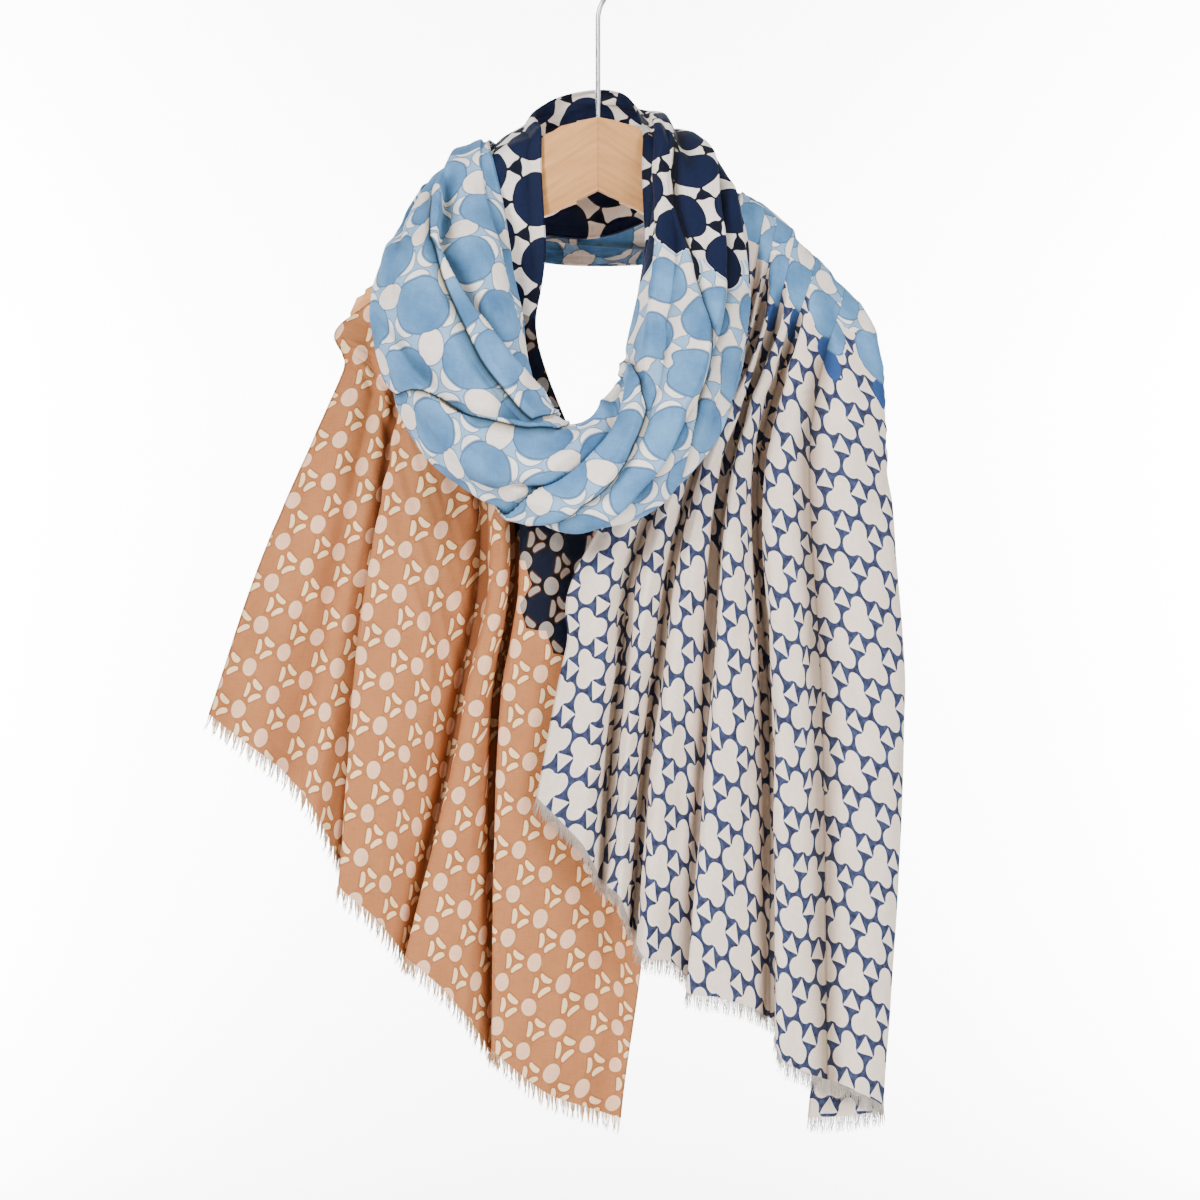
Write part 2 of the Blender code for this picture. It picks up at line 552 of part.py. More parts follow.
def hanger_hook():
    line = hook_line()
    count = len(line)
    points = []
    for k, (x, z) in enumerate(line):
        back = line[max(0, k - 1)]
        ahead = line[min(count - 1, k + 1)]
        way = unit(np.array([ahead[0] - back[0], ahead[1] - back[1]]))
        radius = WIRE_RADIUS
        for j in range(WIRE_SIDES):
            angle = 2 * math.pi * j / WIRE_SIDES
            out = radius * math.cos(angle)
            points.append((x + way[1] * out, radius * math.sin(angle), z - way[0] * out))
    end_x, end_z = line[-1]
    way = unit(np.array([end_x - line[-2][0], end_z - line[-2][1]]))
    points.append((end_x + way[0] * 1.2, 0.0, end_z + way[1] * 1.2))
    faces = [tuple(range(WIRE_SIDES))]
    for i in range(count - 1):
        for j in range(WIRE_SIDES):
            a = i * WIRE_SIDES + j
            b = i * WIRE_SIDES + (j + 1) % WIRE_SIDES
            faces.append((a, a + WIRE_SIDES, b + WIRE_SIDES, b))
    base = (count - 1) * WIRE_SIDES
    for j in range(WIRE_SIDES):
        faces.append((base + j, len(points) - 1, base + (j + 1) % WIRE_SIDES))
    return add_body("hanger_hook", points, faces, "hook_metal", 50)


hanger_body()
hanger_hook()

CLOTH_LOOK = {
    "cloth_tail_left": "cloth_orange",
    "cloth_neck_wrap": "cloth_navy",
    "cloth_front_loop": "cloth_sky",
    "cloth_back_wrap": "cloth_sky_back",
    "cloth_tail_right": "cloth_clover",
}
for name, first, last, across, along in STRETCHES:
    grid, normals = cloth_grid(first, last, across, along)
    at_start = 0.0 if first == 0 else SEAM_GAP / 2
    at_end = 0.0 if name == "cloth_tail_right" else SEAM_GAP / 2
    thick_sheet(name, grid, normals, CLOTH_THICK, CLOTH_LOOK[name], at_start, at_end)

LEFT_ACROSS = STRETCHES[0][3]
RIGHT_ACROSS = STRETCHES[-1][3]
RIGHT_HEM = float(STRETCHES[-1][2])
fringe("fringe_left", 0.0, SLOPE_STEP, LEFT_ACROSS, "fringe_cream")
fringe("fringe_right", RIGHT_HEM, RIGHT_HEM - SLOPE_STEP, RIGHT_ACROSS, "fringe_pale")
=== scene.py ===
# %% [markdown]
# # A printed stole on a coat hanger
#
# This lesson dresses one object: a light printed stole, wound once round a plain coat hanger,
# with both tails hanging in front. The solids of the object already exist. They come in as a
# fixed frame in metres, with the front facing -Y and the origin under the hook's crook. Here
# each of them gets the surface that the eye sees: thin cloth with folds, a print, a frayed
# edge, pale wood and bright wire.
#
# The work goes from large to small. The stage comes first, then the form of the cloth, its
# creases, the print, the fringe, and at last the hanger.

# %% Load the frame
import math

import bmesh
import bpy
import numpy as np
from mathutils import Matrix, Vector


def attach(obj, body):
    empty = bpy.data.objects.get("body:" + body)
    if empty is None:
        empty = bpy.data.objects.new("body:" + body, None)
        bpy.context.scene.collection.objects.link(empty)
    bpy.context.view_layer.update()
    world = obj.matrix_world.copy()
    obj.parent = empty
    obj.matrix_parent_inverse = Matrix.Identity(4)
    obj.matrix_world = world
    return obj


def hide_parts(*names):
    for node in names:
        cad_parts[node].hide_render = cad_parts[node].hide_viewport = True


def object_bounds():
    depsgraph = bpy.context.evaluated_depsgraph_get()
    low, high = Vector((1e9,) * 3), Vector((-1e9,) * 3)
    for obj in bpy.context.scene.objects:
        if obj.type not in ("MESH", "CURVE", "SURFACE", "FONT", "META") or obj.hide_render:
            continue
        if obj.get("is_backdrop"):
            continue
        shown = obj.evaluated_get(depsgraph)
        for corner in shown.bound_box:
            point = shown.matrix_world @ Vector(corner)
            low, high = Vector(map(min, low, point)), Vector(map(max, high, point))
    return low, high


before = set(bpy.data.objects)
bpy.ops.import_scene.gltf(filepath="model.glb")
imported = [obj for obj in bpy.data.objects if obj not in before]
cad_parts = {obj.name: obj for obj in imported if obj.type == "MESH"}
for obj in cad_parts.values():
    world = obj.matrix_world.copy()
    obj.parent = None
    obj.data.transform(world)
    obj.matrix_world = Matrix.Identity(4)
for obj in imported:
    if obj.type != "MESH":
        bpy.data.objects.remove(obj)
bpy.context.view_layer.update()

print("nodes:", ", ".join(sorted(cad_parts)))


# %% Short words for objects and finishes
def placed(name, data):
    """New object at the origin that shows a mesh, a lamp or a lens."""
    thing = bpy.data.objects.new(name, data)
    bpy.context.scene.collection.objects.link(thing)
    return thing


def new_finish(name, **settings):
    """New material and its shader, with constants on the shader's own sockets."""
    made = bpy.data.materials.new(name)
    made.use_nodes = True
    shader = made.node_tree.nodes["Principled BSDF"]
    for setting, value in settings.items():
        shader.inputs[setting.replace("_", " ")].default_value = value
    return made, shader


# %% [markdown]
# ## Camera
#
# The picture shows the stole from straight in front and from far away, so lines stay
# parallel. A camera could be placed by eye, but a level camera with a long lens can be
# reckoned: at 3.16 m from the cloth it frames 0.816 m, which gives its focal length.

# %% Camera
VIEW_WIDTH = 0.816          # metres across the frame at the cloth
VIEW_DISTANCE = 3.16
VIEW_AT = (0.0014, -0.04, -0.452)
SENSOR = 36.0

lens = bpy.data.cameras.new("front_camera")
lens.sensor_width = SENSOR
lens.lens = SENSOR * VIEW_DISTANCE / VIEW_WIDTH
lens.clip_end = 60.0
camera = placed("front_camera", lens)
camera.location = (VIEW_AT[0], VIEW_AT[1] - VIEW_DISTANCE, VIEW_AT[2])
camera.rotation_euler = (math.pi / 2, 0.0, 0.0)
bpy.context.scene.camera = camera
print(f"lens {lens.lens:.1f} mm")

# %% [markdown]
# ## Floor and light
#
# A studio uses a sheet of paper that runs from the floor up the wall in one bend, so that no
# line shows behind the object. It could be a large plane with a bend modifier, but a short
# row of points along the bend, drawn out sideways, is exact and light. Soft light comes from
# large area lamps: a key from the upper left, weaker ones from the right and from above, and
# two that only wash the paper.

# %% Floor
FLOOR_Z = -1.30
PAPER_HALF = 6.0
PAPER_FRONT = -5.0
PAPER_WALL = 4.4
PAPER_BEND = 1.2
PAPER_TOP = 3.2
PAPER_STEPS = 12            # flat steps that make the bend

side = [(PAPER_FRONT, FLOOR_Z), (-1.0, FLOOR_Z)]
for step in range(PAPER_STEPS + 1):
    angle = math.radians(-90 + 90 * step / PAPER_STEPS)
    side.append((PAPER_WALL - PAPER_BEND + PAPER_BEND * math.cos(angle),
                 FLOOR_Z + PAPER_BEND + PAPER_BEND * math.sin(angle)))
side.append((PAPER_WALL, PAPER_TOP))
paper_points = [(x, y, z) for y, z in side for x in (-PAPER_HALF, PAPER_HALF)]
paper_faces = [(2 * k, 2 * k + 1, 2 * k + 3, 2 * k + 2) for k in range(len(side) - 1)]
paper_mesh = bpy.data.meshes.new("paper_floor")
paper_mesh.from_pydata(paper_points, [], paper_faces)
paper_mesh.shade_smooth()
paper = placed("paper_floor", paper_mesh)
paper_mesh.materials.append(
    new_finish("pale paper", Base_Color=(0.93, 0.93, 0.93, 1.0), Roughness=0.9)[0])
paper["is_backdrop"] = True
print("paper:", len(paper_faces), "faces")

# %% Light
# name, place, aimed at, width, height, watts
LAMPS = (
    ("key_lamp", (-1.8, -2.6, 0.80), (0.0, 0.0, -0.5), 1.0, 1.0, 136.0),
    ("fill_lamp", (2.2, -2.4, 0.2), (0.0, 0.0, -0.45), 1.4, 1.8, 84.0),
    ("top_lamp", (0.2, -0.3, 1.7), (0.0, 0.0, -0.3), 1.2, 1.0, 9.0),
    ("paper_lamp_left", (-2.0, 3.1, -0.3), (-1.35, 4.4, -0.3), 1.2, 2.0, 620.0),
    ("paper_lamp_right", (2.0, 3.1, -0.3), (1.35, 4.4, -0.3), 1.2, 2.0, 620.0),
)
AIR_LIGHT = 0.29
for name, place, target, wide, high, watts in LAMPS:
    lamp = bpy.data.lights.new(name, "AREA")
    lamp.shape = "RECTANGLE"
    lamp.size = wide
    lamp.size_y = high
    lamp.energy = watts
    holder = placed(name, lamp)
    holder.location = place
    aim = holder.location.copy()
    aim.x, aim.y, aim.z = (t - p for t, p in zip(target, place))
    holder.rotation_euler = aim.to_track_quat("-Z", "Y").to_euler()

world = bpy.data.worlds.new("studio_air")
world.use_nodes = True
air = world.node_tree.nodes["Background"]
air.inputs["Color"].default_value = (1.0, 1.0, 1.0, 1.0)
air.inputs["Strength"].default_value = AIR_LIGHT
bpy.context.scene.world = world
print("lamps:", len(LAMPS))

# %% [markdown]
# ## The form of the cloth
#
# The stole is one long strip of thin cloth. From its left hem it hangs as a fanned tail, goes
# up over the front of the wood, round behind the stem, comes down in front as a big soft loop,
# goes round behind once more and falls over the right arm as the second tail. It could be
# draped by simulation, but a simulated cloth rarely lands where a picture shows it. So the
# form is drawn as the solids have it: cross sections from hem to hem, and a smooth run through
# them. These tables and curves give it in millimetres from the top middle of the wood. Only the
# first line of the right tail starts about 10 mm further in than the solids have it, so that no
# wood shows beside it.

# %% Tables of the cloth's form
HOOK_DROP = 120.0           # inside top of the crook down to the top middle of the wood
MM = 0.001
FIRST_EDGE_SECTION = 4

# Fold lines of the left tail, inner selvedge first: gathered top, below the loop, middle, hem.
LEFT_FOLDS = (
    ((-42, -48, -142.1), (9.6, -40, -294.6), (32.1, -30, -502.5), (15.7, -34, -684.9)),
    ((-50.9, -44, -137.8), (-13.6, -42, -294.6), (0, -36, -461.4), (-5.4, -36, -677.9)),
    ((-59.8, -40.5, -134.2), (-32.5, -48, -291.3), (-37.9, -50, -440.5), (-35.9, -46, -665.9)),
    ((-68.7, -37.5, -131.2), (-50.2, -46, -287.9), (-66.3, -54, -426.8), (-70.4, -52, -638.2)),
    ((-77.6, -35, -129), (-55.8, -33, -284.3), (-68.1, -34, -413.8), (-71.4, -39, -638.8)),
    ((-86.5, -33, -127.5), (-63, -48, -281.1), (-78.5, -54, -413.2), (-97.5, -52, -603)),
    ((-95.4, -31.5, -126.8), (-70.5, -47, -277.7), (-89.3, -54, -403.1), (-127.8, -56, -574.9)),
    ((-103.7, -30, -126), (-80.4, -33, -274.1), (-94.7, -33, -400.2), (-129.2, -40, -575.4)),
    ((-111.9, -29, -125.9), (-113.9, -49, -243.9), (-124.4, -56, -365.8), (-150.3, -53, -547.4)),
    ((-120.1, -28, -125.9), (-135.7, -46, -215.3), (-158.2, -57, -342.1), (-175.1, -58, -525.4)),
    ((-127.6, -27, -125.8), (-138.8, -37, -208.1), (-152.6, -34, -338.8), (-175.3, -41, -510.1)),
    ((-135.2, -26.5, -126.4), (-145.5, -40, -199.4), (-168.5, -42, -328.6), (-194.1, -46, -471.8)),
    ((-142.7, -26, -127.1), (-153.1, -38, -191.2), (-182.3, -39, -318.4), (-214.2, -39, -448.3)),
    ((-150.3, -25.5, -128.4), (-161.9, -39, -183.7), (-199.4, -47, -304.9), (-239.3, -49, -428.3)),
    ((-157.1, -25, -130.4), (-174.4, -34, -178.7), (-223.7, -40, -291.2), (-264.5, -40, -409.5)),
)

# Fold lines of the right tail, inner selvedge first: over the shoulder, just in front of the
# arm, beside the loop, below the loop, middle, hem.
RIGHT_FOLDS = (
    ((98, 0.5, -52), (95.5, -10.8, -63.5), (90.5, -30, -147.8),
     (0, -58, -284.7), (-21.6, -62, -365.8), (-41.1, -62, -465)),
    ((110.2, 0, -61.4), (108.6, -10.8, -73.3), (98.2, -33, -144.6),
     (23, -66, -272.7), (1.4, -72, -385.8), (-10, -74, -496.8)),
    ((114.3, 0, -64.8), (112.4, -10.8, -76.7), (100.3, -29, -144.3),
     (39.3, -54, -262.9), (14.9, -54, -386.2), (2.8, -58, -521.3)),
    ((118.5, 0, -68.3), (116.6, -10.8, -80.1), (105, -34, -144.6),
     (52.7, -66, -255.1), (24.3, -71, -392.6), (14.9, -74, -531.8)),
    ((122.6, 0, -71.7), (120.4, -10.8, -83.6), (107.8, -29, -144.3),
     (65.1, -52, -248), (38, -52, -399.7), (23.7, -56, -553.9)),
    ((126.7, 0, -75.1), (124.5, -10.8, -87), (111.8, -34, -144.6),
     (74.3, -64, -242.9), (47.2, -68, -399.4), (31, -72, -571.6)),
    ((130.9, 0, -78.6), (128.5, -10.8, -90.4), (115.9, -33, -144.6),
     (83.8, -60, -237.4), (63.6, -60, -392.8), (50.1, -60, -576.6)),
    ((135, 0, -82.7), (132.5, -10.8, -94.5), (120.1, -29, -144.3),
     (89.5, -51, -233.7), (74.6, -50, -399.8), (60.2, -59, -587.5)),
    ((139.1, 0, -86.9), (136.4, -10.8, -98.7), (124, -34, -144.6),
     (94.6, -63, -232.1), (80.3, -68, -412.9), (60.6, -72, -596.5)),
    ((144.6, 0, -92.4), (141.7, -10.8, -104.2), (129.6, -32, -144.5),
     (102.8, -58, -230.6), (99.3, -62, -413), (85.7, -66, -601.1)),
    ((150.1, 0, -97.2), (146.9, -10.8, -109), (135.2, -27, -144.2),
     (111.5, -41, -230), (115.6, -40, -413.6), (116.6, -52, -615.2)),
    ((155.6, 0, -102.7), (152, -10.8, -114.4), (139.1, -33, -148),
     (117.8, -56, -230.5), (121.4, -66, -412.9), (122, -68, -638)),
    ((162.5, 0, -109.6), (159.1, -10.8, -121.3), (147.3, -31, -154.7),
     (130, -55, -223.7), (136.4, -64, -413), (136.4, -64, -649.2)),
    ((170.1, 0, -117.8), (166.8, -10.8, -129.5), (157.1, -27, -157.9),
     (144.6, -46, -223.4), (151.8, -52, -399.7), (155.7, -55, -656.9)),
    ((179.1, 0, -127.5), (177.5, -10.8, -139.2), (173.3, -30, -168.3),
     (170.9, -50, -223.5), (182.4, -62, -399.5), (175.6, -62, -664.2)),
    ((188.7, 0, -139.2), (190.2, -10.8, -150.8), (195.7, -20, -176),
     (197.6, -34, -229.8), (209.8, -46, -399.9), (194, -48, -676.6)),
    ((191.8, 5, -146.5), (189.2, 0, -157.8), (182.7, -8, -180.9),
     (186, -22, -229.4), (193.6, -32, -400.2), (168.2, -36, -683.3)),
    ((192.7, 9, -153.8), (187, 4, -165.1), (175, 2, -183.2),
     (172.9, -12, -229.1), (172.5, -20, -400.4), (143.5, -26, -685.1)),
)

# Sections between the tails: inner edge, outer edge, how far the cloth stands out, and how
# deep its inner and outer edge roll under.
EDGE_STATIONS = (
    # first stretch round the neck
    ((-38.8, -36, -120.9), (-124, -18, -112), 5, 0, 0),
    ((-36.2, -22, -89.2), (-116, -13.5, -96), 4, 0, 0),
    ((-37.7, -13, -61.1), (-110, -11, -82), 3, 0, 0),
    ((-39.1, -10.5, -33.4), (-106, -10, -72), 3, 0, 0),
    ((-39.1, -8.5, -11.3), (-102, -8.5, -62.5), 4, 0, 0),
    ((-40, 3, -4.6), (-98, 6, -57), 5, 0, 0),
    ((-44.3, 20, 3.4), (-91, 26, -57), 7, 0, 0),
    ((-36.2, 38, 13.6), (-74, 46, -68), 9, 0, 0),
    ((-19.6, 50, 21.2), (-36, 64, -76), 10, 0, 0),
    ((1.4, 54, 24.4), (4, 70, -76), 11, 0, 0),
    ((16.8, 48, 21), (44, 66, -60), 12, 0, 0),
    # loop in front
    ((25, 32, 11.6), (74, 50, -38), 13, 0, 0),
    ((28.4, 12, 1.8), (82, 28, -34.7), 12, 0, 0),
    ((30.3, -5, -6.1), (90.3, 4, -45.2), 10, 0, 0),
    ((30.9, -11, -16.3), (98.8, -14, -62.6), 12, 0, 4),
    ((30.9, -14, -37.2), (103.9, -26, -86.1), 18, 0, 6),
    ((30.8, -22, -61.9), (104.9, -36, -117.5), 25, 3, 8),
    ((29.3, -38, -93.8), (102.3, -52, -152.5), 32, 6, 10),
    ((21.7, -58, -144), (93.6, -72, -190.6), 38, 9, 12),
    ((13.5, -76, -184.1), (72.3, -92, -231.7), 40, 12, 14),
    ((-0.6, -86, -206.7), (38, -106, -267.4), 40, 12, 14),
    ((-18.7, -90, -215.6), (-11.9, -112, -286.1), 40, 12, 14),
    ((-35.5, -86, -202), (-61.8, -108, -272.8), 41, 12, 14),
    ((-45, -74, -173.9), (-110.2, -94, -239.1), 42, 10, 14),
    ((-50.7, -58, -135.9), (-139.8, -76, -187.5), 40, 8, 12),
    ((-58.4, -40, -94), (-152.4, -52, -132.2), 34, 4, 8),
    ((-66.3, -20, -56.9), (-146.7, -28, -94.5), 20, 0, 5),
    ((-72, -13, -30.2), (-137.2, -12, -78.2), 11, 0, 0),
    ((-74.3, 0, -20.1), (-128.2, 4, -63.1), 9, 0, 0),
    ((-75.4, 14, -14.5), (-117.9, 22, -50.5), 8, 0, 0),
    # second stretch round the neck
    ((-70.3, 34, -16.1), (-98, 48, -66), 12, 0, 0),
    ((-54.8, 64, -23), (-66, 80, -86), 14, 0, 0),
    ((-26.9, 86, -31.5), (-30, 100, -93), 14, 0, 0),
    ((1.4, 92, -34.5), (6, 106, -94), 14, 0, 0),
    ((33.2, 88, -34.8), (48, 102, -93), 13, 0, 0),
    ((71.8, 70, -40.7), (96, 84, -95), 12, 0, 0),
    ((97.7, 42, -48.8), (144, 50, -112), 10, 0, 0),
    ((104, 20, -54.8), (178, 24, -134), 7, 0, 0),
)


# %% Curves that carry the form
def unit(vector):
    return vector / max(1e-9, float(np.linalg.norm(vector)))


def even_curve(points, places):
    """Smooth curve through evenly numbered points, read at places from 0 to 1."""
    pts = np.asarray(points, dtype=float)
    last = len(pts) - 1
    full = np.vstack([2 * pts[0] - pts[1], pts, 2 * pts[-1] - pts[-2]])
    where = np.clip(np.asarray(places, dtype=float), 0.0, 1.0) * last
    low = np.minimum(where.astype(int), last - 1)
    part = (where - low)[:, None]
    a, b, c, d = (full[low + k] for k in range(4))
    bend = (2 * a - 5 * b + 4 * c - d) * part ** 2 + (3 * b - a - 3 * c + d) * part ** 3
    return 0.5 * (2 * b + (c - a) * part + bend)


FULL_ROLL = 8.0             # depth from which an edge is a full roll, mm
# A section between its edges, as shares of its width and of how far it stands out.
SHOULDERS = ((0.10, 0.50), (0.21, 0.79), (0.35, 0.95), (0.5, 1.0),
             (0.65, 0.95), (0.79, 0.79), (0.90, 0.50))


def section_points(width, bulge, curl_in, curl_out):
    """Half a roll of cloth seen end on, as pairs (across, outward)."""
    flat_in = ((0.0, 0.0), (0.030 * width, 0.16 * bulge), (0.065 * width, 0.33 * bulge))
    flat_out = ((0.935 * width, 0.33 * bulge), (0.970 * width, 0.16 * bulge), (width, 0.0))
    roll_in = ((1.4 * curl_in, -0.80 * curl_in), (0.3 * curl_in, -0.70 * curl_in), (0.0, 0.0))
    roll_out = ((width, 0.0), (width - 0.3 * curl_out, -0.70 * curl_out),
                (width - 1.4 * curl_out, -0.80 * curl_out))
    ends = []
    for flat, roll, curl in ((flat_in, roll_in, curl_in), (flat_out, roll_out, curl_out)):
        mix = min(1.0, curl / FULL_ROLL)
        ends.append(np.array(flat) * (1 - mix) + np.array(roll) * mix)
    return np.vstack([ends[0], np.array(SHOULDERS) * (width, bulge), ends[1]])


def cloth_sections(places):
    """Every section of the scarf, hem to hem, read at the same places across the cloth."""
    found = []
    for level in (3, 2, 1, 0):
        found.append(even_curve([line[level] for line in LEFT_FOLDS], places))
    edges = np.array([row[:2] for row in EDGE_STATIONS], dtype=float)
    middles = 0.5 * (edges[:, 0] + edges[:, 1])
    for number, (inner, outer) in enumerate(edges):
        before = middles[max(0, number - 1)]
        after = middles[min(len(middles) - 1, number + 1)]
        across = unit(outer - inner)
        outward = unit(np.cross(unit(after - before), across))
        shape = section_points(float(np.linalg.norm(outer - inner)), *EDGE_STATIONS[number][2:])
        flat = even_curve(shape, places)
        found.append(inner + flat[:, :1] * across + flat[:, 1:] * outward)
    for level in range(6):
        found.append(even_curve([line[level] for line in RIGHT_FOLDS], places))
    return np.array(found)


def run_along(sections, stations):
    """Smooth run through the sections, read at section numbers that need not be whole."""
    count = len(sections)
    centre = sections.mean(axis=1)
    steps = np.linalg.norm(np.diff(centre, axis=0), axis=1)
    slopes = np.diff(sections, axis=0) / steps[:, None, None]
    left, right = steps[:-1, None, None], steps[1:, None, None]
    inside = (slopes[1:] * left + slopes[:-1] * right) / (left + right)
    tangents = np.concatenate([slopes[:1], inside, slopes[-1:]])
    rows = []
    for station in stations:
        k = int(min(max(math.floor(station), 0), count - 2))
        part = station - k
        span = steps[k]
        h0 = 2 * part ** 3 - 3 * part ** 2 + 1
        h1 = part ** 3 - 2 * part ** 2 + part
        h2 = 3 * part ** 2 - 2 * part ** 3
        h3 = part ** 3 - part ** 2
        row = h0 * sections[k] + h2 * sections[k + 1]
        rows.append(row + span * (h1 * tangents[k] + h3 * tangents[k + 1]))
    return np.array(rows)


LAST_SECTION = len(LEFT_FOLDS[0]) + len(EDGE_STATIONS) + len(RIGHT_FOLDS[0]) - 1
print("sections from hem to hem:", LAST_SECTION + 1)

# %% Lengths on the form
# The table ROUGH_RUN holds how far along the cloth each section is, in millimetres.
ROUGH_PLACES = np.linspace(0.0, 1.0, 61)
ROUGH_STATIONS = np.linspace(0.0, LAST_SECTION, 471)
rough = run_along(cloth_sections(ROUGH_PLACES), ROUGH_STATIONS)
middle_steps = np.linalg.norm(np.diff(rough.mean(axis=1), axis=0), axis=1)
ROUGH_RUN = np.concatenate([[0.0], np.cumsum(middle_steps)])
BY_LENGTH = 0.55            # how much of the spacing goes by length, and the rest by section
print(f"cloth from hem to hem {ROUGH_RUN[-1] / 1000:.2f} m")


def even_stations(first, last, steps):
    """Section numbers from first to last, spaced by length, and closer at tight bends."""
    fine = np.linspace(first, last, 241)
    run = np.interp(fine, ROUGH_STATIONS, ROUGH_RUN)
    run = (run - run[0]) / (run[-1] - run[0])
    spacing = BY_LENGTH * run + (1.0 - BY_LENGTH) * (fine - first) / (last - first)
    return np.interp(np.linspace(0.0, 1.0, steps + 1), spacing, fine)


def arcs_of(grid):
    """Distance across the cloth of each point of each row, from the inner selvedge."""
    steps = np.linalg.norm(np.diff(grid, axis=1), axis=2)
    return np.concatenate([np.zeros((len(grid), 1)), np.cumsum(steps, axis=1)], axis=1)


def grid_normals(grid):
    """Unit normals of a grid of points; they look towards the cloth's outer side."""
    along = np.gradient(grid, axis=0)
    across = np.gradient(grid, axis=1)
    normal = np.cross(along, across)
    return normal / np.maximum(1e-9, np.linalg.norm(normal, axis=2, keepdims=True))


# %% [markdown]
# ## Creases and soft wrinkles
#
# Thin cloth that is squeezed into a roll folds over itself in long crisp lines, and between
# them it is never quite even. The main creases could be sculpted by hand. Here each is a row of
# a table: what kind it is, how high, how wide, and the path it takes over the cloth, so that a
# line seen in the picture can be moved by one number. A ledge lifts one side over the other, a
# pinch is a narrow valley, a ridge a narrow rise and a trough a broad hollow.

# %% Tables of the creases
# kind, height mm, width as a share of the cloth's, path of (section number less four, place
# across the cloth from 0 to 1)
SOFT_FOLDS = (
    ("ledge", 15.0, 0.075, ((21.1, 0.11), (22.0, 0.17), (23.0, 0.29), (24.0, 0.42),
                            (25.0, 0.50), (26.0, 0.48), (27.6, 0.46))),
    ("ledge", -13.0, 0.075, ((18.6, 0.13), (19.6, 0.19), (20.0, 0.29), (21.0, 0.50),
                             (21.6, 0.66), (22.8, 0.84))),
    ("ledge", 12.0, 0.060, ((21.0, 0.26), (22.0, 0.44), (23.0, 0.62), (24.0, 0.74),
                            (25.2, 0.84))),
    ("ledge", -12.0, 0.060, ((12.0, 0.60), (15.0, 0.62), (18.0, 0.62), (19.0, 0.64),
                             (20.2, 0.76), (21.2, 0.88))),
    ("ledge", -10.0, 0.060, ((12.4, 0.30), (14.0, 0.32), (16.0, 0.32), (18.0, 0.34),
                             (19.4, 0.44), (20.6, 0.64))),
    ("trough", 4.0, 0.070, ((6.5, 0.34), (8.0, 0.36), (10.0, 0.38), (12.0, 0.44), (14.5, 0.46))),
    ("trough", 4.0, 0.070, ((6.0, 0.66), (8.0, 0.64), (10.0, 0.68), (11.6, 0.70))),
    ("ledge", 9.0, 0.070, ((29.4, 0.40), (31.0, 0.36), (33.0, 0.40), (35.0, 0.34), (36.4, 0.30))),
    ("ledge", 8.0, 0.070, ((30.4, 0.70), (32.0, 0.66), (34.0, 0.72), (36.4, 0.62))),
)

# kind, height mm, width mm, path of (section, place across)
FINE_FOLDS = (
    ("pinch", 4.0, 4.0, ((12.0, 0.18), (16.0, 0.17), (20.0, 0.16), (22.0, 0.15), (22.8, 0.10))),
    ("ledge", -4.5, 8.0, ((14.0, 0.76), (18.0, 0.77), (22.0, 0.80), (23.2, 0.88), (24.0, 0.97))),
    ("ridge", 2.5, 4.5, ((15.0, 0.54), (19.0, 0.55), (20.6, 0.56))),
    ("ledge", 3.5, 7.0, ((15.0, 0.26), (18.0, 0.25), (20.4, 0.27), (22.2, 0.29))),
    ("pinch", 2.5, 4.0, ((21.4, 0.70), (22.6, 0.78), (23.6, 0.88))),
    ("ledge", 3.0, 7.0, ((26.8, 0.16), (28.0, 0.22), (30.0, 0.27), (32.0, 0.24), (34.0, 0.22))),
    ("pinch", 2.5, 6.0, ((28.0, 0.72), (29.4, 0.70), (31.0, 0.72), (33.0, 0.70))),
    ("pinch", 3.0, 4.0, ((26.6, 0.58), (27.0, 0.66), (27.3, 0.74))),
    ("ridge", 2.0, 7.0, ((25.6, 0.62), (26.2, 0.68), (27.0, 0.80))),
    ("ledge", 5.0, 8.0, ((30.5, 0.78), (34.0, 0.74), (38.0, 0.74), (41.0, 0.72))),
    ("ledge", -5.0, 8.0, ((4.0, 0.20), (6.0, 0.18), (9.0, 0.20), (13.0, 0.18))),
    ("pinch", 3.0, 5.0, ((5.0, 0.80), (8.0, 0.82), (12.0, 0.86))),
    ("ledge", 5.0, 8.0, ((34.0, 0.16), (36.0, 0.18), (38.0, 0.16), (41.0, 0.14))),
    ("pinch", 3.0, 5.0, ((35.0, 0.58), (38.0, 0.56), (41.0, 0.58))),
)

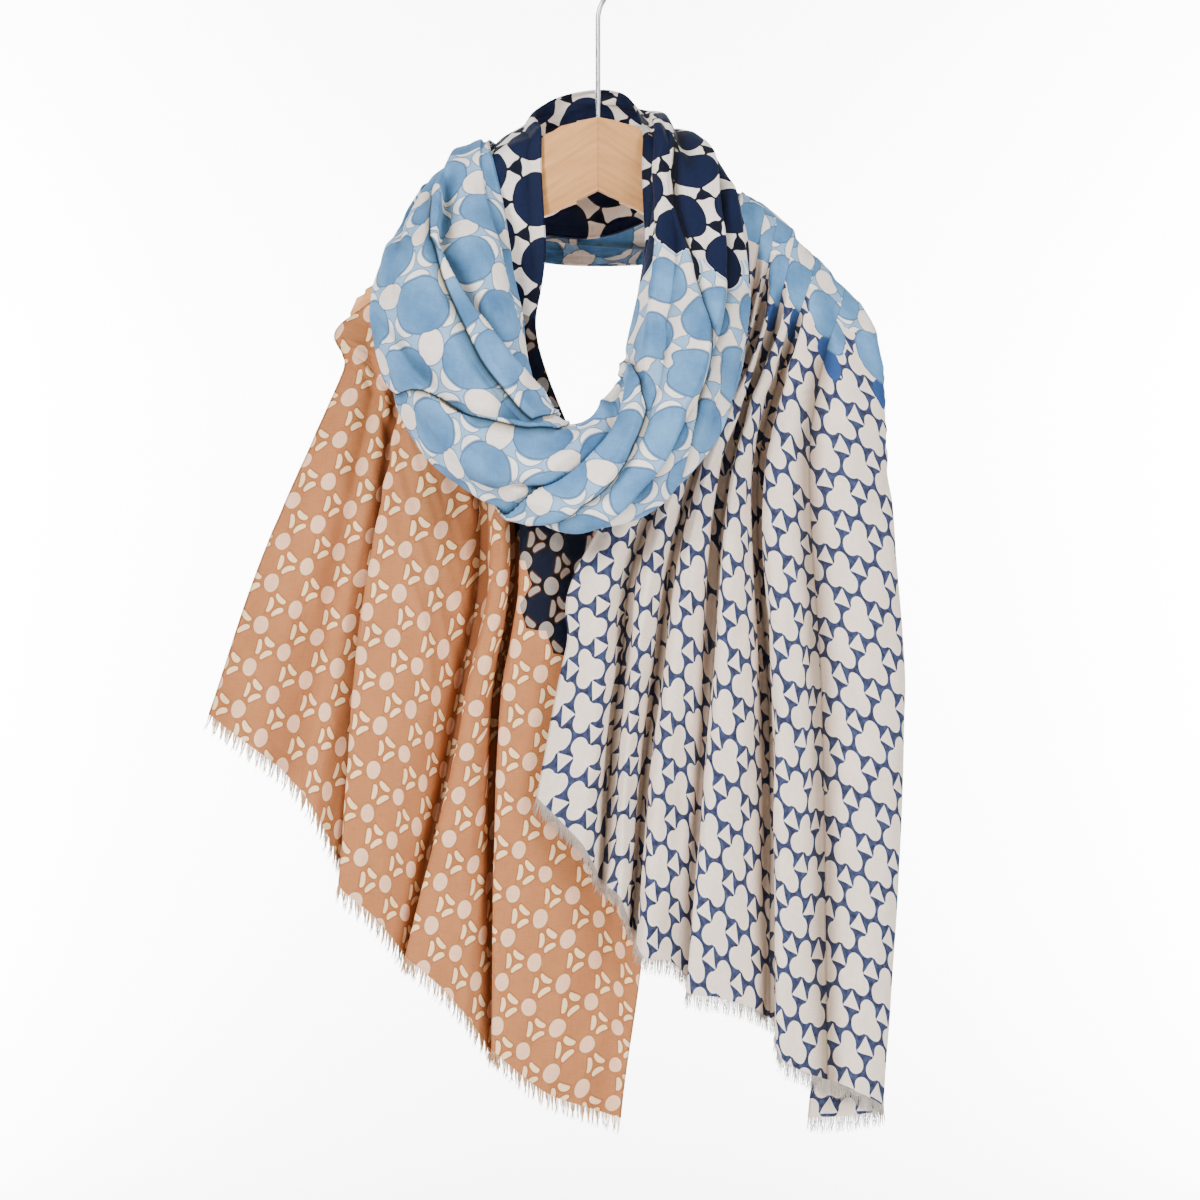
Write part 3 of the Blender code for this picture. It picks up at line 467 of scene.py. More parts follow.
# The deepest creases also part the print into panels. first section, path, whether the path
# leaves the cloth at its end, height mm, width mm; a height below 0 lifts the inner side.
# SLIP is how far the lip of a ledge hangs over, in mm. The fades are the sections over which
# a crease begins and ends.
SLIP = 2.2
SOFT_FADE = 1.2
FINE_FADE = 0.9
PANEL_FADE = 0.35
TAIL_FADE = 0.6
PANEL_LINES = (
    (25.2, ((25.2, -0.02), (25.6, 0.22), (25.95, 0.36), (26.5, 0.39), (27.3, 0.44), (27.9, 0.47),
            (28.6, 0.50), (29.2, 0.52), (30.5, 0.51), (33.0, 0.46), (37.0, 0.44), (42.0, 0.42)),
     False, -7.0, 8.0),
    (24.6, ((24.6, -0.02), (25.1, 0.22), (25.5, 0.36), (25.87, 0.44), (26.2, 0.50),
            (26.55, 0.55), (27.0, 0.60), (27.3, 0.64), (27.6, 0.72), (27.8, 0.80), (28.7, 1.02)),
     True, -5.0, 7.0),
    (22.6, ((22.6, -0.02), (23.0, 0.22), (23.33, 0.31), (23.83, 0.37), (24.6, 0.46), (25.1, 0.57),
            (25.54, 0.69), (25.8, 0.78), (26.1, 0.90), (26.5, 1.02)), True, 6.0, 8.0),
    (22.3, ((22.3, -0.02), (22.8, 0.24), (23.1, 0.36), (23.49, 0.46), (24.05, 0.55), (24.5, 0.65),
            (24.9, 0.72), (25.2, 0.78), (25.55, 0.84), (26.0, 0.94), (26.3, 1.02)),
     True, -6.0, 8.0),
    (0.0, ((3.0, 0.52), (10.0, 0.52), (14.0, 0.42), (18.4, 0.36), (19.8, 0.36), (20.6, 0.41),
           (21.2, 0.47), (21.75, 0.57), (22.2, 0.63), (22.7, 0.67), (23.1, 0.74), (23.5, 0.80),
           (24.2, 0.90), (25.0, 1.02)), True, -6.0, 8.0),
)

# Sharp lines down the two tails, at places counted in fold lines of their tables. Those with
# a 1 at the end part the print too.
#  tail     fold line  depth  width  from   to   parts
TAIL_LINES = (
    ("left", 4.0, 6.0, 5.0, 0.0, 2.9, 1),
    ("left", 7.0, 6.0, 5.0, 0.0, 2.9, 1),
    ("left", 10.0, 5.0, 5.0, 0.0, 2.9, 1),
    ("left", 1.3, 2.0, 6.0, 0.6, 2.9, 0),
    ("left", 5.5, 1.6, 5.0, 0.9, 2.9, 0),
    ("left", 12.0, 2.2, 6.0, 0.5, 2.9, 0),
    ("right", 2.0, 4.0, 4.0, 43.1, 47.0, 1),
    ("right", 4.0, 5.0, 4.0, 43.2, 47.0, 1),
    ("right", 7.0, 5.0, 4.0, 43.4, 47.0, 1),
    ("right", 10.0, 6.0, 5.0, 43.6, 47.0, 1),
    ("right", 13.0, 3.5, 5.0, 43.7, 47.0, 1),
    ("right", 5.4, 1.6, 5.0, 43.6, 46.0, 0),
    ("right", 11.3, 1.4, 6.0, 43.8, 45.6, 0),
    ("right", 15.0, 1.5, 7.0, 43.8, 46.5, 0),
)


# %% Lift of the creases
PAD = 3                     # sections added at an end of a stretch while it is made
CREASE_RIM = 0.06           # share of the width over which creases fade at the selvedges
WRINKLE_RIM = 0.05
MEANDER = (90.0, 120.0, 7.0, 5)     # size across and along in mm, height in mm, seed
LOOP_WAVES = ((13.0, 85.0, 1.5, 11), (6.0, 40.0, 0.6, 12))
TAIL_WAVES = ((17.0, 190.0, 1.3, 21), (8.0, 110.0, 0.5, 22), (30.0, 24.0, 0.25, 23))
LEFT_TAIL_ENDS, RIGHT_TAIL_STARTS = (3.5, 1.5), (42.0, 1.0)     # section, and over how many


def soft_noise(x, y, seed):
    """Smooth uneven field from -1 to 1, with about one bump for each whole x and y."""
    table = np.random.default_rng(seed).uniform(-1.0, 1.0, (64, 64))
    column, row = np.floor(x).astype(int), np.floor(y).astype(int)
    fx, fy = (part * part * (3 - 2 * part) for part in (x - column, y - row))
    near, far = (table[column % 64, at % 64] * (1 - fx) + table[(column + 1) % 64, at % 64] * fx
                 for at in (row, row + 1))
    return near * (1 - fy) + far * fy


def line_place(tail, line):
    """Place across the cloth of a fold line of one tail's table."""
    return line / (len(LEFT_FOLDS) - 1 if tail == "left" else len(RIGHT_FOLDS) - 1)


def all_folds():
    """Every crease as kind, height, width, path, fade; a width below 0 is a share of the cloth."""
    rows = []
    for kind, depth, width, path in SOFT_FOLDS:
        moved = tuple((s + FIRST_EDGE_SECTION, t) for s, t in path)
        rows.append((kind, depth, -width, moved, SOFT_FADE))
    for kind, depth, width, path in FINE_FOLDS:
        rows.append((kind, depth, width, path, FINE_FADE))
    for _, path, _, depth, width in PANEL_LINES:
        rows.append(("ledge", depth, width, path, PANEL_FADE))
    for tail, line, depth, width, first, last, _ in TAIL_LINES:
        place = line_place(tail, line)
        rows.append(("pinch", depth, width, ((first, place), (last, place)), TAIL_FADE))
    return rows


def crease_profile(kind, x):
    """Height and sideways slip of a crease, at x widths from its line, for height 1."""
    if kind == "ledge":
        high = 0.46 * np.tanh(4.5 * x) * np.exp(-0.55 * x * x)
        slip = 0.6 * np.exp(-((x + 0.25) / 0.28) ** 2) - np.exp(-((x - 0.22) / 0.26) ** 2)
        return high, slip
    if kind == "pinch":
        return -np.exp(-np.abs(x) ** 1.25), 0.0 * x
    if kind == "trough":
        return -np.exp(-x * x), 0.0 * x
    return np.exp(-x * x), 0.0 * x


def fade_at(station, first, last, fade_length):
    """Strength of a crease at a section: 0 outside its path, 1 inside, soft at its ends."""
    if station < first or station > last:
        return 0.0
    fade = 1.0
    if first > 0.001:
        fade = min(fade, (station - first) / fade_length)
    if last < LAST_SECTION - 0.001:
        fade = min(fade, (last - station) / fade_length)
    return fade


def crease_lift(stations, places, arcs):
    """Lift and sideways slip of every point of a grid, in mm."""
    lift = np.zeros_like(arcs)
    slide = np.zeros_like(arcs)
    rim = np.minimum(1.0, np.minimum(places, 1.0 - places) / CREASE_RIM)
    for kind, depth, width, path, fade_length in all_folds():
        for k, station in enumerate(stations):
            fade = fade_at(station, path[0][0], path[-1][0], fade_length)
            if fade <= 0.0:
                continue
            middle = np.interp(station, [p[0] for p in path], [p[1] for p in path])
            wide = width if width > 0 else -width * arcs[k, -1]
            x = (arcs[k] - np.interp(middle, places, arcs[k])) / wide
            high, slip = crease_profile(kind, x)
            lift[k] += depth * fade * high * rim
            slide[k] += math.copysign(SLIP, depth) * fade * slip * rim
    return lift, slide


def wrinkles(stations, places, arcs):
    """Small uneven waves of the cloth, in mm, drawn out along its length."""
    run = np.interp(stations, ROUGH_STATIONS, ROUGH_RUN)[:, None]

    def waves(where, *table):
        return sum(high * soft_noise(where / wide, run / long, seed)
                   for wide, long, high, seed in table)

    across = arcs + waves(arcs, MEANDER)
    (ends, over_left), (starts, over_right) = LEFT_TAIL_ENDS, RIGHT_TAIL_STARTS
    station = np.asarray(stations)[:, None]
    in_tail = np.clip(np.maximum((ends - station) / over_left, (station - starts) / over_right),
                      0.0, 1.0)
    rim = np.minimum(1.0, np.minimum(places, 1.0 - places) / WRINKLE_RIM)
    high = waves(across, *LOOP_WAVES) * (1.0 - in_tail) + waves(across, *TAIL_WAVES) * in_tail
    return high * (0.35 + 0.65 * rim)


def cloth_surface(stations, places):
    """Grids of points in mm: the form, the same with all creases, and the normals of that.

    PAD sections more at each open end give the ends the same normals as the next stretch.
    """
    first, last = stations[0], stations[-1]
    steps = np.diff(stations)
    before = after = ()
    if first > 0.001:
        before = np.linspace(max(0.0, first - PAD * steps[0]), first, PAD + 1)[:-1]
    if last < LAST_SECTION - 0.001:
        after = np.linspace(last, min(LAST_SECTION, last + PAD * steps[-1]), PAD + 1)[1:]
    longer = np.concatenate([before, stations, after])
    form = run_along(cloth_sections(places), longer)
    arcs = arcs_of(form)
    lift, slide = crease_lift(longer, places, arcs)
    lift += wrinkles(longer, places, arcs)
    normals = grid_normals(form)
    across = np.gradient(form, axis=1)
    across /= np.maximum(1e-9, np.linalg.norm(across, axis=2, keepdims=True))
    creased = form + normals * lift[..., None] + across * slide[..., None]
    fine_normals = grid_normals(creased)
    own = slice(len(before), len(before) + len(stations))
    return form[own], creased[own], fine_normals[own]


# %% [markdown]
# ## Laying the print out flat
#
# The print was made on flat cloth, so each piece needs a map that says where on the flat cloth
# every point lies. Blender can unwrap such a strip, but its map has no true scale. Here the
# cloth is cut at its deep creases into panels, and each panel is rolled out on the table row by
# row, as a tailor would lay it, with every length kept. Where two panels meet, in the dark of a
# crease, the print jumps, as it does on real cloth that is tucked away there.

# %% Panels of the print
OFF_INSIDE = -1.0           # place of a line that is off the cloth on the inner side
OFF_OUTSIDE = 2.0           # and on the outer side
BESIDE = 0.02               # share of the width to each side that gives the way across


def panel_edge(line, station):
    """Place across where a panel line of the loop lies at a section."""
    starts, path, leaves, _, _ = PANEL_LINES[line]
    if station < starts:
        return OFF_INSIDE
    if leaves and station > path[-1][0]:
        return OFF_OUTSIDE
    return float(np.interp(station, [p[0] for p in path], [p[1] for p in path]))


def loop_lines(stations):
    """Lines that part the loop: place at each section, which side is on top, and strength."""
    lines = []
    for line, (_, path, _, depth, _) in enumerate(PANEL_LINES):
        edge = np.array([panel_edge(line, s) for s in stations])
        strength = np.array([fade_at(s, path[0][0], path[-1][0], PANEL_FADE) for s in stations])
        lines.append((edge, math.copysign(1.0, depth), strength))
    return lines


def tail_lines(tail, stations):
    """The same for the lines down a tail."""
    lines = []
    for name, line, _, _, first, last, parts in TAIL_LINES:
        if name == tail and parts:
            strength = np.array([fade_at(s, first, last, TAIL_FADE) for s in stations])
            edge = np.full(len(stations), line_place(tail, line))
            lines.append((edge, 1.0, strength))
    return lines


def loop_middle(panel, station):
    """Line that a loop panel is rolled out along."""
    low = 0.0 if panel == 0 else panel_edge(panel - 1, station)
    high = 1.0 if panel == len(PANEL_LINES) else panel_edge(panel, station)
    low = min(max(low, 0.0), 1.0)
    high = min(max(high, 0.0), 1.0)
    return min(max((low + high) / 2, BESIDE), 1.0 - BESIDE)


def turned(degrees):
    """Matrix that turns flat places, one a row, by an angle."""
    cosine, sine = math.cos(math.radians(degrees)), math.sin(math.radians(degrees))
    return np.array([[cosine, sine], [-sine, cosine]])


def roll_out(form, creased, places, stations, middles, level_at, zero_at):
    """Flat place of every point of a grid, in metres: rows rolled out along a line.

    The line runs straight along the flat cloth at section level_at, and section zero_at
    gets the length 0.
    """
    arcs = arcs_of(creased)
    count = len(stations)
    centre, across = np.empty((2, count, 3))
    reach = np.empty(count)
    for k, middle in enumerate(middles):
        spots = np.clip([middle - BESIDE, middle, middle + BESIDE], 0.0, 1.0)
        inner, centre[k], outer = np.array([[np.interp(p, places, form[k, :, c])
                                             for c in range(3)] for p in spots])
        across[k] = unit(outer - inner)
        reach[k] = np.interp(middle, places, arcs[k])
    heading, step_way = np.zeros((2, count))
    flat = np.zeros((count, 2))
    for k in range(count - 1):
        step = centre[k + 1] - centre[k]
        size = float(np.linalg.norm(step))
        # angles from the step to the cloth's way across, at its start and at its end
        alpha, beta = (math.acos(max(-1.0, min(1.0, float(np.dot(step, side)) / size)))
                       for side in across[k:k + 2])
        step_way[k] = heading[k] + alpha
        heading[k + 1] = step_way[k] - beta
        flat[k + 1] = flat[k] + size * np.array([math.cos(step_way[k]), math.sin(step_way[k])])
    step_way[-1] = step_way[-2]
    level, zero = (int(np.argmin(np.abs(stations - at))) for at in (level_at, zero_at))
    tilt = math.pi / 2 - step_way[level]
    rotate = np.array([[math.cos(tilt), -math.sin(tilt)], [math.sin(tilt), math.cos(tilt)]])
    flat = (flat - flat[zero]) @ rotate.T
    side = np.stack([np.cos(heading + tilt), np.sin(heading + tilt)], axis=1)
    laid = flat[:, None, :] + (arcs - reach[:, None])[..., None] * side[:, None, :]
    return laid * MM


# %% [markdown]
# ## Closing a surface into thin cloth
#
# A cloth has two sides and an edge. A Solidify modifier could give them, but it would thicken
# the rolled hem and the flat cloth alike. Here the two sides are built at once, half a
# thickness to each side of the middle, with a little more along the selvedges, where the real
# edge is rolled and stitched.

# %% Cloth shell
HALF_CLOTH = 0.28           # half the thickness of the cloth, mm
HALF_ROLL = 0.55            # what the rolled selvedge adds to each side, mm
ROLL_WIDE = 1.5             # how wide the rolled selvedge is, mm
HOLLOW_REACH = 24.0         # how far to each side a hollow is measured, mm
LEAST_FADE = 0.04           # share of its width that a crease's shadow keeps where it ends
SHARP_FROM = 70.0           # degrees between two faces that make a sharp edge


def to_frame(points):
    """Millimetres from the top of the wood to metres in the frame."""
    moved = np.array(points, dtype=float)
    moved[..., 2] -= HOOK_DROP
    return moved * MM


def hollow_depth(surface, normals, arcs):
    """How deep every point lies below its neighbours across the cloth, in mm."""
    columns = surface.shape[1]
    span = max(2, int(HOLLOW_REACH / arcs[:, -1].mean() * columns))
    weights = np.exp(-np.linspace(-1.8, 1.8, 2 * span + 1) ** 2)
    padded = np.pad(surface, ((0, 0), (span, span), (0, 0)), mode="edge")
    around = sum(weight * padded[:, k:k + columns] for k, weight in enumerate(weights))
    deep = np.einsum("ijk,ijk->ij", around / weights.sum() - surface, normals)
    # the ends of the window fade out, because half of it lies off the cloth there
    inside = np.minimum(arcs, arcs[:, -1:] - arcs) / HOLLOW_REACH
    return deep * np.clip(inside, 0.0, 1.0)


def shell_faces(rows, columns):
    """Faces of two grids with a rim between them, and the grid cell that each belongs to."""
    count = rows * columns
    i, j = (grid.ravel() for grid in np.meshgrid(np.arange(rows - 1), np.arange(columns - 1),
                                                 indexing="ij"))
    a = i * columns + j
    front = np.stack([a, a + 1, a + columns + 1, a + columns], axis=1)
    last = (rows - 1) * columns
    rim = [(k, k + 1, 0, k) for k in range(columns - 1)]
    rim += [(r * columns + columns - 1, (r + 1) * columns + columns - 1, r, columns - 2)
            for r in range(rows - 1)]
    rim += [(last + k + 1, last + k, rows - 2, k) for k in range(columns - 2, -1, -1)]
    rim += [((r + 1) * columns, r * columns, r, 0) for r in range(rows - 2, -1, -1)]
    rim = np.array(rim)
    edge = np.stack([rim[:, 1], rim[:, 0], rim[:, 0] + count, rim[:, 1] + count], axis=1)
    faces = np.concatenate([front, front[:, ::-1] + count, edge])
    cells = (np.concatenate([i, i, rim[:, 2]]), np.concatenate([j, j, rim[:, 3]]))
    return faces, cells


def facing_out(verts, faces):
    """The same faces, turned round if the closed shape's volume comes out below zero."""
    corner = verts[faces]
    signed = np.einsum("ij,ij->i", corner[:, 0], np.cross(corner[:, 1], corner[:, 2]))
    signed += np.einsum("ij,ij->i", corner[:, 0], np.cross(corner[:, 2], corner[:, 3]))
    return faces[:, ::-1].copy() if signed.sum() < 0 else faces


def beside_lines(lines, places, arcs):
    """Distance of every point of a grid from every panel line, in mm."""
    aside = np.empty((len(lines), *arcs.shape))
    for panel, (place, _, _) in enumerate(lines):
        for k, arc in enumerate(arcs):
            on_cloth = 0.0 <= place[k] <= 1.0
            aside[panel, k] = arc - (np.interp(place[k], places, arc) if on_cloth
                                     else place[k] * arc[-1])
    return aside


def write_map(mesh, name, values):
    """New UV map with one place for each corner of each face."""
    mesh.uv_layers.new(name=name)
    mesh.uv_layers[name].data.foreach_set("uv", values.astype(np.float32).ravel())


def cloth_shell(name, surface, normals, lines, places, layouts, material):
    """Two sides and a rim round a grid of points, with its flat maps.

    A face next to a panel line carries two flat places, one for each side of the line, and
    its distance from the line, so that the finish can change over exactly on the line.
    """
    rows, columns = surface.shape[:2]
    arcs = arcs_of(surface)
    to_edge = np.minimum(arcs, arcs[:, -1:] - arcs)
    half = (HALF_CLOTH + HALF_ROLL * np.exp(-(to_edge / ROLL_WIDE) ** 2))[..., None]
    verts = np.concatenate([(surface + normals * half).reshape(-1, 3),
                            (surface - normals * half).reshape(-1, 3)])
    faces, cells = shell_faces(rows, columns)
    faces = facing_out(verts, faces)
    mesh = bpy.data.meshes.new(name)
    mesh.vertices.add(len(verts))
    mesh.vertices.foreach_set("co", to_frame(verts).astype(np.float32).ravel())
    mesh.loops.add(faces.size)
    mesh.loops.foreach_set("vertex_index", faces.astype(np.int32).ravel())
    mesh.polygons.add(len(faces))
    mesh.polygons.foreach_set("loop_start", np.arange(0, faces.size, 4, dtype=np.int32))
    mesh.update(calc_edges=True)

    # every face takes its maps from the panel line nearest to it
    aside = beside_lines(lines, places, arcs)
    middle = (aside[:, 1:, 1:] + aside[:, :-1, :-1] + aside[:, 1:, :-1] + aside[:, :-1, 1:]) / 4
    owner = np.argmin(np.abs(middle), axis=0)[cells]
    flat_index = faces % (rows * columns)
    below, above, crease = (np.empty((len(faces), 4, 2)) for _ in range(3))
    for panel, (_, top, strength) in enumerate(lines):
        mine = owner == panel
        corners = flat_index[mine]
        below[mine] = layouts[panel].reshape(-1, 2)[corners]
        above[mine] = layouts[panel + 1].reshape(-1, 2)[corners]
        off = aside[panel].reshape(-1)[corners] * MM
        # where a crease fades out, its shadow narrows
        narrow = np.maximum(LEAST_FADE, np.repeat(strength, columns))[corners]
        crease[mine] = np.stack([off, off * top / narrow], axis=2)
    # the edge map also carries how deep each point lies, for the painted shade in hollows
    rim = np.stack([to_edge, hollow_depth(surface, normals, arcs)], axis=2) * MM
    for map_name, values in (("print", below), ("print_over", above), ("crease", crease),
                             ("edge", rim.reshape(-1, 2)[flat_index])):
        write_map(mesh, map_name, values)
    mesh.validate()
    mesh.shade_smooth()
    mesh.set_sharp_from_angle(angle=math.radians(SHARP_FROM))
    mesh.materials.append(material)
    return placed(name, mesh)


# %% [markdown]
# ## Tools for the print
#
# The print is a plain geometric repeat: round and pointed figures on a triangular grid, so it
# can be drawn by rule, with no picture. Blender has no node for a triangular grid. But such a
# grid is two square ones laid into each other, and the Wrap operation makes each of those. For
# every point of the cloth the nodes find the nearest grid point and the way to it, and all
# figures are then drawn once, round that one point.

# %% Short words for shader nodes
ROOT3 = math.sqrt(3.0)


def dye(code):
    """Colour of a dye from its six-digit screen code, in the renderer's own scale."""
    parts = [int(code[k:k + 2], 16) / 255.0 for k in (0, 2, 4)]
    line = [p / 12.92 if p <= 0.04045 else ((p + 0.055) / 1.055) ** 2.4 for p in parts]
    return (*line, 1.0)


def feed(socket, value):
    """Set a socket to a value, or link it where the value is another node's output."""
    if isinstance(value, Field):
        socket.id_data.links.new(value.socket, socket)
    elif isinstance(value, tuple) and len(value) == 2:
        socket.default_value = (*value, 0.0)
    else:
        socket.default_value = value


class Field:
    """What one output of a shader node gives, so that chains of nodes read as sums.

    Signs work on numbers, and piece by piece on places and colours.
    """

    def __init__(self, socket):
        self.socket = socket

    def node(self, kind, *values, out=0, **settings):
        """Output of a new node in the same tree, with its inputs fed in their order."""
        made = self.socket.id_data.nodes.new("ShaderNode" + kind)
        for setting, value in settings.items():
            setattr(made, setting, value)
        for socket, value in zip(made.inputs, values):
            feed(socket, value)
        return Field(made.outputs[out])

    def act(self, operation, *others):
        kind = "Math" if self.socket.type == "VALUE" else "VectorMath"
        return self.node(kind, self, *others, operation=operation)

    def __add__(self, other):
        return self.act("ADD", other)

    def __sub__(self, other):
        return self.act("SUBTRACT", other)

    def __rsub__(self, other):
        return self.node("Math", other, self, operation="SUBTRACT")

    def __mul__(self, other):
        return self.act("MULTIPLY", other)

    def __truediv__(self, other):
        return self.act("DIVIDE", other)

    def __lt__(self, other):
        return self.act("LESS_THAN", other)

    def __gt__(self, other):
        return self.act("GREATER_THAN", other)

    def __abs__(self):
        return self.act("ABSOLUTE")

    def held(self):
        """The same number, held between 0 and 1."""
        self.socket.node.use_clamp = True
        return self

    def least(self, other):
        return self.act("MINIMUM", other)

    def most(self, other):
        return self.act("MAXIMUM", other)

    def length(self):
        return self.node("VectorMath", self, operation="LENGTH", out="Value")

    def parts(self):
        """The three parts of a place, as numbers."""
        first = self.node("SeparateXYZ", self)
        return [Field(socket) for socket in first.socket.node.outputs]


def joined(x, y, z=0.0):
    """Place from its parts."""
    return x.node("CombineXYZ", x, y, z)


def mixed(share, low, high, kind="RGBA"):
    """low where share is 0 and high where it is 1."""
    at_low, at_high, out = {"FLOAT": (2, 3, 0), "VECTOR": (4, 5, 1), "RGBA": (6, 7, 2)}[kind]
    found = share.node("Mix", share, data_type=kind, out=out)
    feed(found.socket.node.inputs[at_low], low)
    feed(found.socket.node.inputs[at_high], high)
    return found


def cloud(where, scale, detail=2.0, out="Fac"):
    """Soft random pattern; its value is about 0.5 on average."""
    found = where.node("TexNoise", where, out=out)
    found.socket.node.inputs["Scale"].default_value = scale
    found.socket.node.inputs["Detail"].default_value = detail
    return found


def inked(distance, soft=0.0005):
    """1 inside a figure, where the distance to its outline is below 0."""
    return (distance * (-1.0 / soft) + 0.5).held()


def outlined(distance, wide, soft=0.0005):
    """1 along a line of the given width on the figure's outline."""
    return inked(abs(distance) - wide / 2, soft)


def object_place(shader):
    """Place on a piece, in metres from the object's origin."""
    return Field(shader.id_data.nodes.new("ShaderNodeTexCoord").outputs["Object"])


def coloured(shader, colour, height=None, strength=0.0):
    """Feed the shader its colour, and a fine bump where a height is given."""
    feed(shader.inputs["Base Color"], colour)
    if height is not None:
        bump = height.node("Bump")
        for socket, value in (("Strength", strength), ("Distance", 0.0003), ("Height", height)):
            feed(bump.socket.node.inputs[socket], value)
        feed(shader.inputs["Normal"], bump)


# %% The triangular grid
def grid_point(where, step, shift=(0.0, 0.0)):
    """Way from the nearest point of a triangular grid, and that point; a row runs along x."""
    moved = where - shift
    half = (step / 2, step * ROOT3 / 2, 0.5)
    minus = tuple(-h for h in half)
    one = moved.act("WRAP", half, minus)
    other = (moved - (half[0], half[1], 0.0)).act("WRAP", half, minus)
    way = mixed(one.length() < other.length(), other, one, "VECTOR")
    return way, moved - way


def slice_of(way, count, start):
    """Fold the plane round a point into one slice, so that a figure drawn once shows count times.

    Gives the place in the slice, the distance from the point, and how much the slice's own
    way goes along the cloth.
    """
    x, y, _ = way.parts()
    far = way.length()
    whole = y.act("ARCTAN2", x)
    angle = (whole - math.radians(start)).act("WRAP", math.pi / count, -math.pi / count)
    return (far * angle.act("COSINE"), far * angle.act("SINE"), far,
            (whole - angle).act("SINE"))


def oval_gap(x, y, centre, radii):
    """Rough distance to the outline of an oval, below 0 inside."""
    size = joined((x - centre[0]) / radii[0], (y - centre[1]) / radii[1]).length()
    return (size - 1.0) * min(radii)


# %% [markdown]
# ## The cloth's own finish
#
# Under the ink lies fine plain-woven voile: thousands of thin threads, a little uneven, with a
# dry soft shine. At this distance no single thread shows, so the weave is a faint grain in
# colour and in bump. One function makes that base for all three prints, so that the whole stole
# feels like one cloth. It also paints shade into the creases and hollows, and a faint painted
# highlight on the crests.

# %% Voile under the print
VOILE = {"Roughness": 0.72, "Specular_IOR_Level": 0.14, "Sheen_Weight": 0.03,
         "Sheen_Roughness": 0.45}
SELVEDGE_TONE = 0.62        # how dark the stitched selvedge is against the cloth
SELVEDGE_WIDE = 0.0013
PRINT_WANDER = 0.0028       # how far the print wanders off its grid on the soft cloth
THREADS_ALONG, THREADS_ACROSS = 90.0, 1500.0    # uneven spots a metre along and across a thread
THREAD_TONE, PATCH_TONE = 0.30, 0.26            # how much threads and patches differ in tone
SHADOW_LINE_WIDE = 0.0010          # half the width of the painted shadow line in a crease
SOFT_EDGE = 0.0008          # how soft a second, inner edge of a figure is
# How far the painted shade beside a crease reaches in metres, how deep it is there and in
# the crease itself, how fast the painted shade darkens cloth in a hollow per metre of depth,
# the darkest a hollow gets, and whether both sides of a line lie in its shade.
LOOP_SHADE = (0.012, 0.86, 0.72, 200.0, 0.46, False)
TAIL_SHADE = (0.018, 0.44, 0.30, 120.0, 0.62, True)
CREST_HIGHLIGHT = 1.06            # painted highlight: tone of a crest against open cloth


def map_of(shader, name):
    """Place on one of the cloth's flat maps."""
    node = shader.id_data.nodes.new("ShaderNodeUVMap")
    node.uv_map = name
    return Field(node.outputs[0])


def voile(name):
    """New cloth material: its shader, the flat place on the cloth, and that place as printed."""
    made, shader = new_finish(name, **VOILE)
    # the print changes over from one panel to the next exactly on the crease
    off_line = map_of(shader, "crease").parts()[0]
    flat = mixed(off_line > 0.0, map_of(shader, "print"), map_of(shader, "print_over"), "VECTOR")
    wander = cloud(flat, 60.0, 1.0, "Color") - (0.5, 0.5, 0.5)
    return made, shader, flat, flat + wander * (PRINT_WANDER, PRINT_WANDER, 0.0)


def painted_crease_shade(shader, shade):
    """Painted shade of the cloth in its creases: 1 on open cloth, less where it is tucked under.
    """
    reach, depth, line_depth, gain, darkest, both_sides = shade
    off_lip = map_of(shader, "crease").parts()[1]
    if both_sides:
        off_lip = abs(off_lip) * -1.0
    # painted shadow under the lip of a crease, and a painted dark line in the crease itself
    under = (off_lip * (1.0 / reach) + 1.0).held()
    under = under * under * (off_lip < 0.0002)
    line = inked(abs(off_lip) - SHADOW_LINE_WIDE, 0.0012)
    tone = (under * -depth + 1.0) * (line * -line_depth + 1.0)
    # painted shade in the hollows, and a painted highlight on the crests
    hollow = map_of(shader, "edge").parts()[1]
    return tone * (hollow * -gain + 1.0).most(darkest).least(CREST_HIGHLIGHT)


def finish_cloth(shader, flat, colour, shade_tint, shade):
    """Add grain, thread bump, painted crease shade and the stitched selvedge, and feed the shader.

    shade_tint says how the painted shade in a crease is coloured: above 1 a colour darkens faster.
    """
    x, y, _ = flat.parts()
    # threads are uneven along their length, so each set is stretched along its own way
    warp = cloud(joined(x * THREADS_ACROSS, y * THREADS_ALONG), 1.0, 1.0)
    weft = cloud(joined(x * THREADS_ALONG, y * THREADS_ACROSS), 1.0, 1.0)
    threads = warp + weft
    patches = cloud(flat, 26.0, 3.0) * PATCH_TONE + (1.0 - PATCH_TONE / 2)
    tone = ((threads - 1.0) * THREAD_TONE + 1.0) * patches
    # painted shade of the creases and hollows, tinted for each print
    tucked = painted_crease_shade(shader, shade)
    tucked = tucked.node("VectorMath", tucked, shade_tint, operation="POWER")
    stitched = inked(map_of(shader, "edge").parts()[0] - SELVEDGE_WIDE, SOFT_EDGE)
    tone = tone * mixed(stitched, 1.0, SELVEDGE_TONE, "FLOAT")
    coloured(shader, colour * tucked * tone, threads, 0.35)


# %% [markdown]
# ## Print of the loop: discs with bridges, ovals and crescents
#
# Big discs stand 47 mm apart. In the first part, at the back of the neck and down the right of
# the loop, a cream bridge with hollow sides lies between every two discs, first on navy and
# then on light blue. Further on the bridges give way to ovals and to crescents that hug the
# discs. All of it comes from one grid point: the bridge shows six times round it, the crescent
# three times.

